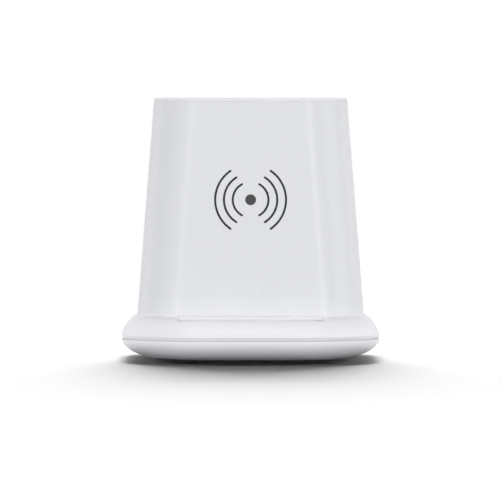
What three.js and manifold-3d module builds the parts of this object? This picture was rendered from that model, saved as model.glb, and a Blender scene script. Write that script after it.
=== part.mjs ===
// A desk pen holder that charges a phone without a cable. The phone stands on the ledge of a
// low rounded base and leans on the front wall of a tapered tower. A flat coil sits behind
// that wall, a cup for pens hangs inside the tower, and the charger board lies in the base.
// Millimetres, +Z up, front towards -Y. The origin is on the desk under the middle of the base.
import * as THREE from 'three';
import { mergeVertices } from 'three/addons/utils/BufferGeometryUtils.js';
import Module from 'manifold-3d';

const wasm = await Module();
wasm.setup();

// Base, outer form
const baseWidth = 104;
const baseDepth = 104;
const baseCornerRadius = 32;
const footProud = 1.1;
const baseLowerHeight = 8.3;
const baseLowerSweep = 18;
const baseUpperHeight = 9.1;
const baseUpperSweep = 10.5;

// Base, the two covers, and the lid's lowest stretch, which slants in to the seam between them
const baseWall = 2.4;
const baseFloor = 2.4;
const coverTop = 2.2;
const flankHeight = 1.4;
const flankInset = 0.5;
const skirtWall = 1.3;
const tongueGap = 0.2;
const tongueHeight = 2.9;

// Tub in the upper cover that the tower stands in
const seatDepth = 2.1;
const seatFloor = 2.2;
const seatGap = 0.3;
const tubWall = 1.6;

// Tower, outer form
const towerHeight = 87.5;
const towerFootWidth = 91.4;
const towerTopWidth = 78.2;
const towerCornerRadius = 18;
const frontLedge = 16;
const rearLedge = 6.3;
const frontLean = THREE.MathUtils.degToRad(8);
const rearLean = THREE.MathUtils.degToRad(4.3);
const towerWall = 2.2;

// Pen cup
const rimThickness = 1.6;
const rimRound = 0.8;
const cupWall = 1.8;
const cupFloor = 2;
const cupFloorRound = 2;
const cupSideGap = 0.8;
const coilSpace = 6.8;
const cupClearanceUnder = 4;
const cupBossRadius = 3.5;
const cupBossX = 32;
const cupBossFromFront = 20;
const cupBossFromRear = 11.7;

// Phone rest pad
const padWidth = 58;
const padProud = 0.4;
const padThickness = 1.3;
const padFrontSetback = 5.8;
const padRearGap = 1;
const padCornerRadius = 1;
const padEdge = 0.35;
const padGap = 0.2;

// Feet, and the screw wells above them
const footX = 26;
const footFromEdge = 26;
const footRadius = 5;
const footThickness = 2.1;
const footEdge = 0.5;
const footWellGap = 0.3;
const footBossHeight = 2.5;
const headWellDepth = 2.5;
const pillarRadius = 3.5;
const pillarBore = 7;

// Screws by the radius of head and shank, the shares of those that shape head, point and cross
// recess, and how much wider their holes are
const coverScrew = { head: 2.8, headHeight: 2, shank: 1.25, length: 7.6, tip: 1.2 };
const cupScrew = { head: 2.8, headHeight: 1.9, shank: 1.25, length: 6.8, tip: 1.2 };
const boardScrew = { head: 1.9, headHeight: 1.3, shank: 0.85, length: 4.6, tip: 0.8 };
const trayScrew = { head: 1.9, headHeight: 1.1, shank: 0.85, length: 4.4, tip: 0.8 };
const headShares = { crown: 0.75, shoulder: 0.5, crossReach: 0.53, crossWidth: 0.26, crossDepth: 0.55 };
const pointShare = 0.45;
const pilotGap = 0.2;
const clearanceGap = 0.35;

// Charging coil and what carries it, measured from the middle of the printed symbol
const symbolBelowRim = 40.9;
const turnedGap = 0.3;
const wireRadius = 0.5;
const coilInnerRadius = 10.5;
const coilTurns = 8;
const coilStart = THREE.MathUtils.degToRad(-30);
const coilEnd = THREE.MathUtils.degToRad(-90);
const coilPitch = 1.45;
const ferriteSide = 50;
const ferriteThickness = 1;
const ferriteCorner = 2;
const ferriteSlotWidth = 7;
const ferriteSlotTopShare = 0.33;
const trayWidth = 56;
const trayHeight = 70;
const trayThickness = 1.6;
const trayCorner = 4;
const trayRim = 1.2;
const trayPostX = 22;
const trayPostV = 31.5;
const trayPostRadius = 2.6;

// Wires from the coil through a slot in the tub to the plug on the board
const wireSlotWidth = 14;
const wireSlotDepth = 5;
const wireSlotFromFront = 3.6;
const wireBend = 3;
const tailDrop = 3;
const innerTailX = -0.6;
const outerTailX = 2.5;
const outerTailTurn = 0.6;
const sensorRadius = 0.9;
const sensorLeadRadius = 0.3;
const sensorLeadX = -2.7;

// How the wires rise out of the ferrite's slot: x and v are shares of the coil's inner radius, and
// rise is the share of the way from the slot's depth to the coil's
const innerTailShares = [
  { x: -0.057, v: -1.2, rise: 0 },
  { x: -0.051, v: -0.88, rise: 0 },
  { x: 0.06, v: -0.68, rise: 0.5 },
  { x: 0.36, v: -0.6, rise: 1 },
  { x: 0.66, v: -0.62, rise: 1 },
];
const sensorLeadShares = [
  { x: -0.257, v: -1, rise: 0 },
  { x: -0.257, v: -0.6, rise: 0 },
  { x: -0.13, v: -0.3, rise: 1 },
  { x: 0, v: 0, rise: 1 },
];

// Printed symbol: a dot with three waves to each side
const symbolInk = 0.2;
const symbolLift = 0.1;
const symbolDotRadius = 2.2;
const symbolStroke = 0.88;
const symbolWaveRadius = 7.15;
const symbolWavePitch = 3.52;
const symbolWaves = [
  { name: 'inner', reach: THREE.MathUtils.degToRad(61) },
  { name: 'middle', reach: THREE.MathUtils.degToRad(57.5) },
  { name: 'outer', reach: THREE.MathUtils.degToRad(55.3) },
];

// Charger board
const boardWidth = 56;
const boardDepth = 38;
const boardThickness = 1.2;
const boardCorner = 6;
const boardWallGap = 0.85;
const boardStandoff = 3.9;
const boardBossRadius = 2.6;
const boardFrontScrew = { sideInset: 3.5, inset: 4 };
const boardRearScrew = { sideInset: 7, inset: 5 };
const boardNotchGap = 0.7;

// Power socket in the rear of the base
const socketWidth = 8.94;
const socketHeight = 3.26;
const socketLength = 7.35;
const socketShell = 0.3;
const socketMouthSetback = 1.6;
const socketOpeningGap = 0.35;
const contactWidth = 6.7;
const contactThickness = 0.7;
const contactLength = 4.6;
const contactBlock = 1.5;

// Parts on the board: their size along X, Y and Z, and how far in from the board's front or rear edge
const connector = { x: 7.5, y: 5, z: 4.4, inset: 3.1 };
const plug = { x: 6.9, y: 5.4, z: 3.4, gap: 0.3, lift: 0.6 };
const capacitor = { x: 5, y: 5.7, z: 2.2, inset: 9.2, offset: 12, pitch: 6 };
const bridge = { x: 5, y: 6, z: 1.1, inset: 10.5, offset: 5.5 };
const controller = { x: 5, y: 5, z: 0.9, inset: 20 };
const inductor = { x: 8, y: 8, z: 4.2, inset: 22, offset: 13, corner: 1.6 };
const can = { x: 6.8, y: 6.8, z: 0.8, inset: 21, offset: 14, radius: 3.15, height: 5 };
const led = { x: 1.6, y: 1, z: 1.2, rearInset: 2.2, offset: 9.5 };
const lightPipe = { radius: 1.2, flange: 1.5, flangeLength: 0.8, holeGap: 0.3, ledGap: 0.3, setback: 0.4 };

// Facets and steps, how many radii apart two stretches of wire count as two, the width within
// which doubled points are one, and how far a cutter runs past what it cuts
const cornerSteps = 6;
const sweepSteps = 5;
const roundSteps = 3;
const arcSteps = 4;
const footSides = 20;
const postSides = 14;
const smallSides = 10;
const screwSides = 8;
const wireSides = 6;
const stepsPerTurn = 24;
const tailSteps = 24;
const innerTailSteps = 36;
const farApart = 12;
const mergeWidth = 1e-4;
const overrun = 1;

// Levels above the desk
const seamZ = footProud + baseLowerHeight;
const plateauZ = seamZ + baseUpperHeight;
const rimZ = plateauZ + towerHeight;
const tongueTopZ = seamZ + tongueHeight;
const innerFloorZ = footProud + baseFloor;
const seatZ = plateauZ - seatDepth;
const tubZ = seatZ - seatFloor;
const cupUndersideZ = seatZ + cupClearanceUnder;
const footBossTopZ = innerFloorZ + footBossHeight;
const boardZ = innerFloorZ + boardStandoff;
const boardTopZ = boardZ + boardThickness;
const socketZ = boardTopZ + socketHeight / 2;
const wireZ = boardTopZ + plug.lift + plug.z / 2;

// Places from front to rear
const baseFrontY = -baseDepth / 2;
const baseRearY = baseDepth / 2;
const towerFrontY = baseFrontY + frontLedge;
const towerRearY = baseRearY - rearLedge;
const footY = baseRearY - footFromEdge;
const wireSlotY = towerFrontY + wireSlotFromFront + wireSlotDepth / 2;
const boardRearY = baseRearY - lowerInset(boardZ, baseWall, baseFloor) - boardWallGap;
const boardFrontY = boardRearY - boardDepth;
const plugFrontY = boardFrontY + connector.inset - connector.y / 2 - plug.gap - plug.y;
const socketMouthY = baseRearY - socketMouthSetback;
const padDepth = frontLedge - padFrontSetback - padRearGap;
const padMiddleY = baseFrontY + padFrontSetback + padDepth / 2;
const padSeatZ = plateauZ + padProud - padThickness;

// The tower's sides lean in, its cup hangs inside its walls and leaves room for the coil in front
const sideLean = Math.atan((towerFootWidth - towerTopWidth) / 2 / towerHeight);
const cupInset = towerWall + cupSideGap;
const cupFrontInset = towerWall + coilSpace;

// Depths of the coil stack behind the outer face of the front wall
const coilDepth = towerWall + turnedGap + wireRadius;
const ferriteDepth = coilDepth + wireRadius + turnedGap;
const trayDepth = ferriteDepth + ferriteThickness + turnedGap;
const tailDepth = ferriteDepth + ferriteThickness / 2;

// The turned frame of the front wall: x to the right, y up the wall and z out of it, with its
// origin on the wall's outer face in the middle of the symbol.
const wallFrame = new THREE.Group();
wallFrame.position.z = rimZ - symbolBelowRim;
wallFrame.position.y = towerFrontY + (wallFrame.position.z - plateauZ) * Math.tan(frontLean);
wallFrame.rotation.x = Math.PI / 2 - frontLean;
wallFrame.updateMatrix();

// A geometry as a solid for joining and cutting. It is closed once its doubled points are one.
function toSolid(geometry) {
  const bare = geometry.clone();
  for (const name of Object.keys(bare.attributes)) if (name !== 'position') bare.deleteAttribute(name);
  const merged = mergeVertices(bare, mergeWidth);
  const corners = merged.index.array;
  const kept = [];
  for (let i = 0; i < corners.length; i += 3) {
    const [a, b, c] = corners.slice(i, i + 3);
    if (a !== b && b !== c && c !== a) kept.push(a, b, c);
  }
  const vertProperties = merged.attributes.position.array;
  return new wasm.Manifold(new wasm.Mesh({ numProp: 3, vertProperties, triVerts: new Uint32Array(kept) }));
}

// A solid back as a geometry.
function toGeometry(solid) {
  const mesh = solid.getMesh();
  const positions = new Float32Array(mesh.numVert * 3);
  for (let i = 0; i < mesh.numVert; i++) {
    positions.set(mesh.vertProperties.subarray(i * mesh.numProp, i * mesh.numProp + 3), i * 3);
  }
  const geometry = new THREE.BufferGeometry();
  geometry.setAttribute('position', new THREE.BufferAttribute(positions, 3));
  geometry.setIndex(new THREE.BufferAttribute(mesh.triVerts, 1));
  geometry.computeVertexNormals();
  return geometry;
}

// The closed body through a stack of rings that have as many points each and run anticlockwise from above.
function loft(rings) {
  const count = rings[0].length;
  const outline = rings[0].map((p) => new THREE.Vector2(p.x, p.y));
  const top = (rings.length - 1) * count;
  const index = [];
  for (const [a, b, c] of THREE.ShapeUtils.triangulateShape(outline, [])) {
    index.push(a, c, b, top + a, top + b, top + c);
  }
  for (let level = 0; level < rings.length - 1; level++) {
    for (let i = 0; i < count; i++) {
      const a = level * count + i;
      const b = level * count + ((i + 1) % count);
      index.push(a, b, b + count, a, b + count, a + count);
    }
  }
  return toSolid(new THREE.BufferGeometry().setFromPoints(rings.flat()).setIndex(index));
}

// A rectangle with round corners at one height.
function roundedRing(halfWidth, front, rear, radius, z) {
  const corners = [
    [halfWidth - radius, rear - radius],
    [radius - halfWidth, rear - radius],
    [radius - halfWidth, front + radius],
    [halfWidth - radius, front + radius],
  ];
  return corners.flatMap(([x, y], turn) =>
    quarterAngles(cornerSteps).map((angle) => {
      const around = turn * (Math.PI / 2) + angle;
      return new THREE.Vector3(x + radius * Math.cos(around), y + radius * Math.sin(around), z);
    }),
  );
}

// The angles of a quarter turn, from start to end.
function quarterAngles(steps) {
  return Array.from({ length: steps + 1 }, (_, i) => (i / steps) * (Math.PI / 2));
}

// The base's outline at one height, drawn in by an inset.
function baseRing(z, inset) {
  const halfWidth = baseWidth / 2 - inset;
  return roundedRing(halfWidth, baseFrontY + inset, baseRearY - inset, baseCornerRadius - inset, z);
}

// The tower's outline at one height, with its walls drawn in. The front wall can be drawn in further.
function towerRing(z, inset = 0, frontInset = inset) {
  const up = z - plateauZ;
  const halfWidth = towerFootWidth / 2 - up * Math.tan(sideLean) - inset / Math.cos(sideLean);
  const front = towerFrontY + up * Math.tan(frontLean) + frontInset / Math.cos(frontLean);
  const rear = towerRearY - up * Math.tan(rearLean) - inset / Math.cos(rearLean);
  return roundedRing(halfWidth, front, rear, towerCornerRadius - inset, z);
}

// How far the dish below the seam is drawn in at one height. A wall and a floor give its inside.
function lowerInset(z, wall = 0, floor = 0) {
  const share = (seamZ - z) / (baseLowerHeight - floor);
  return wall + (baseLowerSweep - wall) * (1 - Math.sqrt(1 - share * share));
}

// How far the lid above the seam is drawn in at one height.
function upperInset(z) {
  const share = (z - seamZ) / baseUpperHeight;
  return baseUpperSweep * (1 - Math.sqrt(1 - share * share));
}

// An upright post or drill.
function post(x, y, bottom, top, radius, sides = postSides) {
  const geometry = new THREE.CylinderGeometry(radius, radius, top - bottom, sides);
  return toSolid(geometry.rotateX(Math.PI / 2).translate(x, y, (bottom + top) / 2));
}

// A post or drill square to the front wall, between two depths behind its outer face.
function postBehindWall(x, v, near, far, radius) {
  const geometry = new THREE.CylinderGeometry(radius, radius, far - near, smallSides);
  geometry.rotateX(Math.PI / 2).translate(x, v, -(near + far) / 2);
  return toSolid(geometry.applyMatrix4(wallFrame.matrix));
}

// A point behind the front wall's outer face.
function wallPoint(x, v, depth) {
  return new THREE.Vector3(x, v, -depth).applyMatrix4(wallFrame.matrix);
}

// A block by its lowest corner and its size.
function block(x, y, z, width, depth, height) {
  const geometry = new THREE.BoxGeometry(width, depth, height);
  return toSolid(geometry.translate(x + width / 2, y + depth / 2, z + height / 2));
}

// The outline of a flat rectangle with round corners.
function roundedOutline(width, height, radius) {
  const outline = new THREE.Shape();
  const x = width / 2 - radius;
  const y = height / 2 - radius;
  outline.absarc(x, y, radius, 0, Math.PI / 2);
  outline.absarc(-x, y, radius, Math.PI / 2, Math.PI);
  outline.absarc(-x, -y, radius, Math.PI, Math.PI * 1.5);
  outline.absarc(x, -y, radius, Math.PI * 1.5, Math.PI * 2);
  return outline;
}

// A plate of an outline, from z = 0 up.
function plate(outline, depth, curveSegments = roundSteps) {
  return toSolid(new THREE.ExtrudeGeometry(outline, { depth, bevelEnabled: false, curveSegments }));
}

// A turned body round Z, from the radii and heights of its profile.
function turned(profile, sides) {
  const points = profile.map(([radius, height]) => new THREE.Vector2(radius, height));
  return toSolid(new THREE.LatheGeometry(points, sides).rotateX(Math.PI / 2));
}

// Four places mirrored about both middle planes.
function fourPlaces(x, y) {
  return [
    [-x, -y, 'front_left'],
    [x, -y, 'front_right'],
    [-x, y, 'rear_left'],
    [x, y, 'rear_right'],
  ];
}

function cupScrewPlaces() {
  const front = towerFrontY + cupBossFromFront;
  const rear = towerRearY - cupBossFromRear;
  return [
    [-cupBossX, front, 'front_left'],
    [cupBossX, front, 'front_right'],
    [-cupBossX, rear, 'rear_left'],
    [cupBossX, rear, 'rear_right'],
  ];
}

function boardScrewPlaces() {
  const front = boardFrontY + boardFrontScrew.inset;
  const frontX = boardWidth / 2 - boardFrontScrew.sideInset;
  const rear = boardRearY - boardRearScrew.inset;
  const rearX = boardWidth / 2 - boardRearScrew.sideInset;
  return [
    [-frontX, front, 'front_left'],
    [frontX, front, 'front_right'],
    [-rearX, rear, 'rear_left'],
    [rearX, rear, 'rear_right'],
  ];
}

// A screw whose shank runs up from the underside of its head, with a cross cut into the head.
function screw(size) {
  const body = turned(
    [
      [0, -size.headHeight],
      [size.head * headShares.crown, -size.headHeight],
      [size.head, -size.headHeight * headShares.shoulder],
      [size.head, 0],
      [size.shank, 0],
      [size.shank, size.length - size.tip],
      [size.shank * pointShare, size.length],
      [0, size.length],
    ],
    screwSides,
  );
  const depth = overrun + size.headHeight * headShares.crossDepth;
  const bottom = -size.headHeight - overrun;
  const long = 2 * size.head * headShares.crossReach;
  const wide = size.head * headShares.crossWidth;
  return body
    .subtract(block(-long / 2, -wide / 2, bottom, long, wide, depth))
    .subtract(block(-wide / 2, -long / 2, bottom, wide, long, depth));
}

// Openings in the rear of both covers for the power socket and the light pipe.
function rearOpenings() {
  const width = socketWidth + 2 * socketOpeningGap;
  const height = socketHeight + 2 * socketOpeningGap;
  const depth = overrun + 2 * baseWall;
  const socket = plate(roundedOutline(width, height, height / 2), depth);
  const radius = lightPipe.radius + lightPipe.holeGap;
  const hole = new THREE.CylinderGeometry(radius, radius, depth, smallSides);
  return socket
    .rotate([90, 0, 0])
    .translate([0, baseRearY + overrun, socketZ])
    .add(toSolid(hole.translate(led.offset, baseRearY + overrun - depth / 2, socketZ)));
}

// Lower cover: a dish with a standing tongue, bosses for the board, and wells for feet and screws.
function bottomCover() {
  const levels = quarterAngles(sweepSteps).reverse();
  const dishRing = (angle, wall, floor) => {
    const z = seamZ - (baseLowerHeight - floor) * Math.sin(angle);
    return baseRing(z, wall + (baseLowerSweep - wall) * (1 - Math.cos(angle)));
  };
  const form = loft(levels.map((angle) => dishRing(angle, 0, 0)));
  const tongueInset = skirtWall + tongueGap;
  const tongue = loft([baseRing(seamZ - overrun, tongueInset), baseRing(tongueTopZ, tongueInset)]);
  const hollow = loft([
    ...levels.map((angle) => dishRing(angle, baseWall, baseFloor)),
    baseRing(tongueTopZ + overrun, baseWall),
  ]);
  let cover = form.add(tongue).subtract(hollow);
  const headHole = coverScrew.head + clearanceGap;
  const shankHole = coverScrew.shank + clearanceGap;
  for (const [x, y] of fourPlaces(footX, footY)) {
    cover = cover
      .add(post(x, y, innerFloorZ - baseFloor / 2, footBossTopZ, footRadius))
      .subtract(post(x, y, 0, footThickness, footRadius + footWellGap))
      .subtract(post(x, y, footProud, footThickness + headWellDepth, headHole, smallSides))
      .subtract(post(x, y, footProud, footBossTopZ + overrun, shankHole, screwSides));
  }
  for (const [x, y] of boardScrewPlaces()) {
    const pilotZ = boardTopZ - boardScrew.length - pilotGap;
    cover = cover
      .add(post(x, y, footProud, boardZ, boardBossRadius, smallSides).intersect(form))
      .subtract(post(x, y, pilotZ, boardZ + overrun, boardScrew.shank + pilotGap, screwSides));
  }
  return cover.subtract(rearOpenings());
}

// Upper cover: a thin rounded lid with the tower's tub, the pad's seat, screw pillars and a slot
// for the wires.
function topCover() {
  const aboveFlank = quarterAngles(sweepSteps).filter(
    (angle) => baseUpperHeight * Math.sin(angle) > flankHeight,
  );
  const flankTopZ = seamZ + flankHeight;
  const form = loft([
    baseRing(seamZ, flankInset),
    baseRing(flankTopZ, upperInset(flankTopZ)),
    ...aboveFlank.map((angle) =>
      baseRing(seamZ + baseUpperHeight * Math.sin(angle), baseUpperSweep * (1 - Math.cos(angle))),
    ),
  ]);
  const shoulderZ = tongueTopZ + tongueGap;
  const hollow = loft([
    baseRing(seamZ - overrun, skirtWall),
    baseRing(shoulderZ, skirtWall),
    ...quarterAngles(sweepSteps).map((angle) => {
      const z = shoulderZ + (plateauZ - coverTop - shoulderZ) * Math.sin(angle);
      return baseRing(z, baseWall + baseUpperSweep * (1 - Math.cos(angle)));
    }),
  ]);
  const tub = loft([towerRing(tubZ, -seatGap - tubWall), towerRing(plateauZ, -seatGap - tubWall)]);
  let cover = form.subtract(hollow).add(tub.intersect(form));
  for (const [x, y] of fourPlaces(footX, footY)) {
    const boreTop = footBossTopZ + pillarBore;
    cover = cover
      .add(post(x, y, footBossTopZ, tubZ + seatFloor / 2, pillarRadius))
      .subtract(post(x, y, footBossTopZ - overrun, boreTop, coverScrew.shank + pilotGap, screwSides));
  }
  cover = cover.subtract(loft([towerRing(seatZ, -seatGap), towerRing(plateauZ + overrun, -seatGap)]));
  const cutBottom = tubZ - overrun;
  const cutTop = seatZ + overrun;
  for (const [x, y] of cupScrewPlaces()) {
    cover = cover.subtract(post(x, y, cutBottom, cutTop, cupScrew.shank + clearanceGap, screwSides));
  }
  const slotX = -wireSlotWidth / 2;
  const slotY = wireSlotY - wireSlotDepth / 2;
  const slot = block(slotX, slotY, cutBottom, wireSlotWidth, wireSlotDepth, cutTop - cutBottom);
  const padOutline = roundedOutline(padWidth + 2 * padGap, padDepth + 2 * padGap, padCornerRadius + padGap);
  const padSeat = plate(padOutline, padThickness + overrun).translate([0, padMiddleY, padSeatZ]);
  return cover.subtract(slot).subtract(padSeat).subtract(rearOpenings());
}

// Soft strip that the phone stands on, with eased edges.
function phoneRestPad() {
  const outline = roundedOutline(padWidth - 2 * padEdge, padDepth - 2 * padEdge, padCornerRadius - padEdge);
  const geometry = new THREE.ExtrudeGeometry(outline, {
    depth: padThickness - 2 * padEdge,
    bevelThickness: padEdge,
    bevelSize: padEdge,
    bevelSegments: 2,
    curveSegments: 1,
  });
  return toSolid(geometry.translate(0, padMiddleY, padSeatZ + padEdge));
}

// Outer shell of the tower, with the posts that carry the coil tray.
function towerShell() {
  const hollow = loft([towerRing(seatZ - overrun, towerWall), towerRing(rimZ, towerWall)]);
  let tower = loft([towerRing(seatZ), towerRing(rimZ - rimThickness)]).subtract(hollow);
  for (const [x, v] of fourPlaces(trayPostX, trayPostV)) {
    const tipDepth = trayDepth + trayThickness + turnedGap - trayScrew.length - pilotGap;
    tower = tower
      .add(postBehindWall(x, v, towerWall / 2, trayDepth - turnedGap, trayPostRadius))
      .subtract(postBehindWall(x, v, tipDepth, trayDepth, trayScrew.shank + pilotGap));
  }
  return tower;
}

// Cup for the pens. Its rim covers the tower's wall and the space in front of the cup.
function penCup() {
  const easing = quarterAngles(roundSteps).map((angle) => [
    rimZ - rimRound * (1 - Math.sin(angle)),
    rimRound * (1 - Math.cos(angle)),
  ]);
  const rim = loft([towerRing(rimZ - rimThickness), ...easing.map(([z, eased]) => towerRing(z, eased))]);
  const body = loft([
    towerRing(cupUndersideZ, cupInset, cupFrontInset),
    towerRing(rimZ - rimThickness / 2, cupInset, cupFrontInset),
  ]);
  const inside = cupInset + cupWall;
  const insideFront = cupFrontInset + cupWall;
  const hollow = loft([
    ...quarterAngles(roundSteps).map((angle) => {
      const drawn = cupFloorRound * (1 - Math.sin(angle));
      const z = cupUndersideZ + cupFloor + cupFloorRound * (1 - Math.cos(angle));
      return towerRing(z, inside + drawn, insideFront + drawn);
    }),
    ...easing.map(([z, eased]) => towerRing(z, inside - eased, insideFront - eased)),
    towerRing(rimZ + overrun, inside - rimRound, insideFront - rimRound),
  ]);
  let cup = rim.add(body).subtract(hollow);
  for (const [x, y] of cupScrewPlaces()) {
    const boreTop = cupUndersideZ + cupFloor / 2;
    cup = cup
      .add(post(x, y, seatZ, boreTop, cupBossRadius, smallSides))
      .subtract(post(x, y, seatZ - overrun, boreTop, cupScrew.shank + pilotGap, screwSides));
  }
  return cup;
}

// Plastic tray behind the coil, in the front wall's frame, with a rim round the ferrite.
function coilTray() {
  const pocket = ferriteSide + 2 * turnedGap;
  const rimSide = pocket + 2 * trayRim;
  const rimTop = trayThickness + ferriteThickness;
  const slotX = -ferriteSlotWidth / 2;
  const rim = plate(roundedOutline(rimSide, rimSide, ferriteCorner + trayRim), rimTop, 1)
    .subtract(plate(roundedOutline(pocket, pocket, ferriteCorner), rimTop + overrun, 1))
    .subtract(block(slotX, -rimSide, trayThickness, ferriteSlotWidth, rimSide, ferriteThickness + overrun));
  let tray = plate(roundedOutline(trayWidth, trayHeight, trayCorner), trayThickness, 2).add(rim);
  const hole = trayScrew.shank + clearanceGap;
  for (const [x, v] of fourPlaces(trayPostX, trayPostV)) {
    tray = tray.subtract(post(x, v, -overrun, trayThickness + overrun, hole, screwSides));
  }
  return tray;
}

// Ferrite sheet, in the front wall's frame, slotted for the wires that leave the coil's middle.
function ferriteSheet() {
  const slotX = -ferriteSlotWidth / 2;
  const slotHeight = ferriteSide - coilInnerRadius * ferriteSlotTopShare;
  const slotDepth = ferriteThickness + 2 * overrun;
  const slot = block(slotX, -ferriteSide, -overrun, ferriteSlotWidth, slotHeight, slotDepth);
  return plate(roundedOutline(ferriteSide, ferriteSide, ferriteCorner), ferriteThickness, 2).subtract(slot);
}

// A round wire along points: a closed tube with flat ends.
function wire(points, radius) {
  const at = (i) => points[Math.min(Math.max(i, 0), points.length - 1)];
  let side = new THREE.Vector3(1, 0, 0);
  const rings = points.map((point, i) => {
    const along = at(i + 1).clone().sub(at(i - 1)).normalize();
    side = side.clone().addScaledVector(along, -side.dot(along)).normalize();
    const other = along.clone().cross(side);
    return Array.from({ length: wireSides }, (_, k) => {
      const angle = (k / wireSides) * 2 * Math.PI;
      const out = side.clone().multiplyScalar(Math.cos(angle)).addScaledVector(other, Math.sin(angle));
      return point.clone().addScaledVector(out, radius);
    });
  });
  const last = (rings.length - 1) * wireSides;
  const index = [];
  for (let k = 1; k < wireSides - 1; k++) index.push(0, k + 1, k, last, last + k, last + k + 1);
  for (let i = 0; i < last; i += wireSides) {
    for (let k = 0; k < wireSides; k++) {
      const next = (k + 1) % wireSides;
      index.push(i + k, i + next, i + next + wireSides, i + k, i + next + wireSides, i + k + wireSides);
    }
  }
  return toSolid(new THREE.BufferGeometry().setFromPoints(rings.flat()).setIndex(index));
}

// A smooth curve through points.
function smooth(points, steps) {
  return new THREE.CatmullRomCurve3(points, false, 'centripetal').getPoints(steps);
}

// The common way of the wires: down past the tray's foot, through the slot, round a bend and back
// to the plug.
function tailPoints(x) {
  return [
    wallPoint(x, tailDrop - trayHeight / 2, tailDepth),
    wallPoint(x, -tailDrop - trayHeight / 2, tailDepth),
    new THREE.Vector3(x, wireSlotY, cupUndersideZ),
    ...quarterAngles(roundSteps).map(
      (angle) =>
        new THREE.Vector3(
          x,
          wireSlotY + wireBend * (1 - Math.cos(angle)),
          wireZ + wireBend * (1 - Math.sin(angle)),
        ),
    ),
    new THREE.Vector3(x, plugFrontY - plug.y, wireZ),
    new THREE.Vector3(x, plugFrontY - plug.gap, wireZ),
  ];
}

// Points where a wire rises out of the ferrite's slot into the coil's middle.
function risingPoints(shares) {
  return shares.map(({ x, v, rise }) => {
    const depth = tailDepth + rise * (coilDepth - tailDepth);
    return wallPoint(x * coilInnerRadius, v * coilInnerRadius, depth);
  });
}

// The winding is one wire. Its inner tail lies in the ferrite's slot, its outer tail turns straight
// down.
function chargingCoil() {
  const sweep = coilTurns * 2 * Math.PI + coilEnd - coilStart;
  const steps = Math.round((sweep / (2 * Math.PI)) * stepsPerTurn);
  const spiral = Array.from({ length: steps + 1 }, (_, i) => {
    const angle = coilStart + (i / steps) * sweep;
    const radius = coilInnerRadius + ((i / steps) * sweep * coilPitch) / (2 * Math.PI);
    return wallPoint(radius * Math.cos(angle), radius * Math.sin(angle), coilDepth);
  });
  const innerTail = smooth(
    [...tailPoints(innerTailX).reverse(), ...risingPoints(innerTailShares), spiral[0]],
    innerTailSteps,
  );
  const outer = coilInnerRadius + (sweep * coilPitch) / (2 * Math.PI);
  const outerTail = smooth(
    [
      spiral[steps],
      wallPoint(outerTailX - outerTailTurn, -outer - outerTailTurn, coilDepth),
      wallPoint(outerTailX, -outer - outerTailX, coilDepth),
      ...tailPoints(outerTailX),
    ],
    tailSteps,
  );
  const points = [...innerTail.slice(0, -1), ...spiral, ...outerTail.slice(1)];
  console.log('least gap of the coil wire to itself:', leastGap(points, wireRadius).toFixed(2), 'mm');
  return wire(points, wireRadius);
}

// The least clear distance between two stretches of a wire that lie apart along it.
function leastGap(points, radius) {
  let least = Infinity;
  for (let i = 0; i < points.length; i++) {
    let along = 0;
    for (let j = i + 1; j < points.length; j++) {
      along += points[j].distanceTo(points[j - 1]);
      if (along < farApart * radius) continue;
      least = Math.min(least, points[i].distanceTo(points[j]) - 2 * radius);
    }
  }
  return least;
}

// Temperature sensor in the middle of the coil, with its twin lead as one.
function temperatureSensor() {
  const bead = new THREE.SphereGeometry(sensorRadius, smallSides, roundSteps * 2);
  bead.scale(1, 1, wireRadius / sensorRadius).translate(0, 0, -coilDepth).applyMatrix4(wallFrame.matrix);
  const lead = [...tailPoints(sensorLeadX).reverse(), ...risingPoints(sensorLeadShares)];
  return toSolid(bead).add(wire(smooth(lead, tailSteps), sensorLeadRadius));
}

// One wave of the symbol: an arc with round ends that opens about the middle angle.
function waveOutline(radius, reach, middle) {
  const half = symbolStroke / 2;
  const [from, to] = [middle - reach, middle + reach];
  const end = (angle) => [radius * Math.cos(angle), radius * Math.sin(angle)];
  const outline = new THREE.Shape();
  outline.absarc(0, 0, radius + half, from, to);
  outline.absarc(...end(to), half, to, to + Math.PI);
  outline.absarc(0, 0, radius - half, to, from, true);
  outline.absarc(...end(from), half, from + Math.PI, from + 2 * Math.PI);
  return outline;
}

// A soft foot with an eased lower edge.
function foot() {
  return turned(
    [
      [0, 0],
      [footRadius - footEdge, 0],
      [footRadius, footEdge],
      [footRadius, footThickness],
      [0, footThickness],
    ],
    footSides,
  );
}

// The charger board, notched round the pillars of the upper cover.
function circuitBoard() {
  const outline = roundedOutline(boardWidth, boardDepth, boardCorner);
  const notch = pillarRadius + boardNotchGap;
  const hole = boardScrew.shank + clearanceGap;
  const bottom = boardZ - overrun;
  const top = boardTopZ + overrun;
  const height = top - bottom;
  let board = plate(outline, boardThickness).translate([0, (boardFrontY + boardRearY) / 2, boardZ]);
  board = board
    .subtract(post(-footX, footY, bottom, top, notch))
    .subtract(post(footX, footY, bottom, top, notch))
    .subtract(block(-footX - boardWidth, footY - notch, bottom, boardWidth, 2 * notch, height))
    .subtract(block(footX, footY - notch, bottom, boardWidth, 2 * notch, height));
  for (const [x, y] of boardScrewPlaces()) {
    board = board.subtract(post(x, y, bottom, top, hole, screwSides));
  }
  return board;
}

// Power socket: a flat-oval metal tube with a closed back.
function socketTube() {
  const inner = [socketWidth - 2 * socketShell, socketHeight - 2 * socketShell];
  const tube = plate(roundedOutline(socketWidth, socketHeight, socketHeight / 2), socketLength, 2);
  const bore = plate(roundedOutline(inner[0], inner[1], inner[1] / 2), socketLength, 2);
  const shell = tube.subtract(bore.translate([0, 0, -socketShell]));
  return shell.rotate([90, 0, 0]).translate([0, socketMouthY, socketZ]);
}

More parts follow.
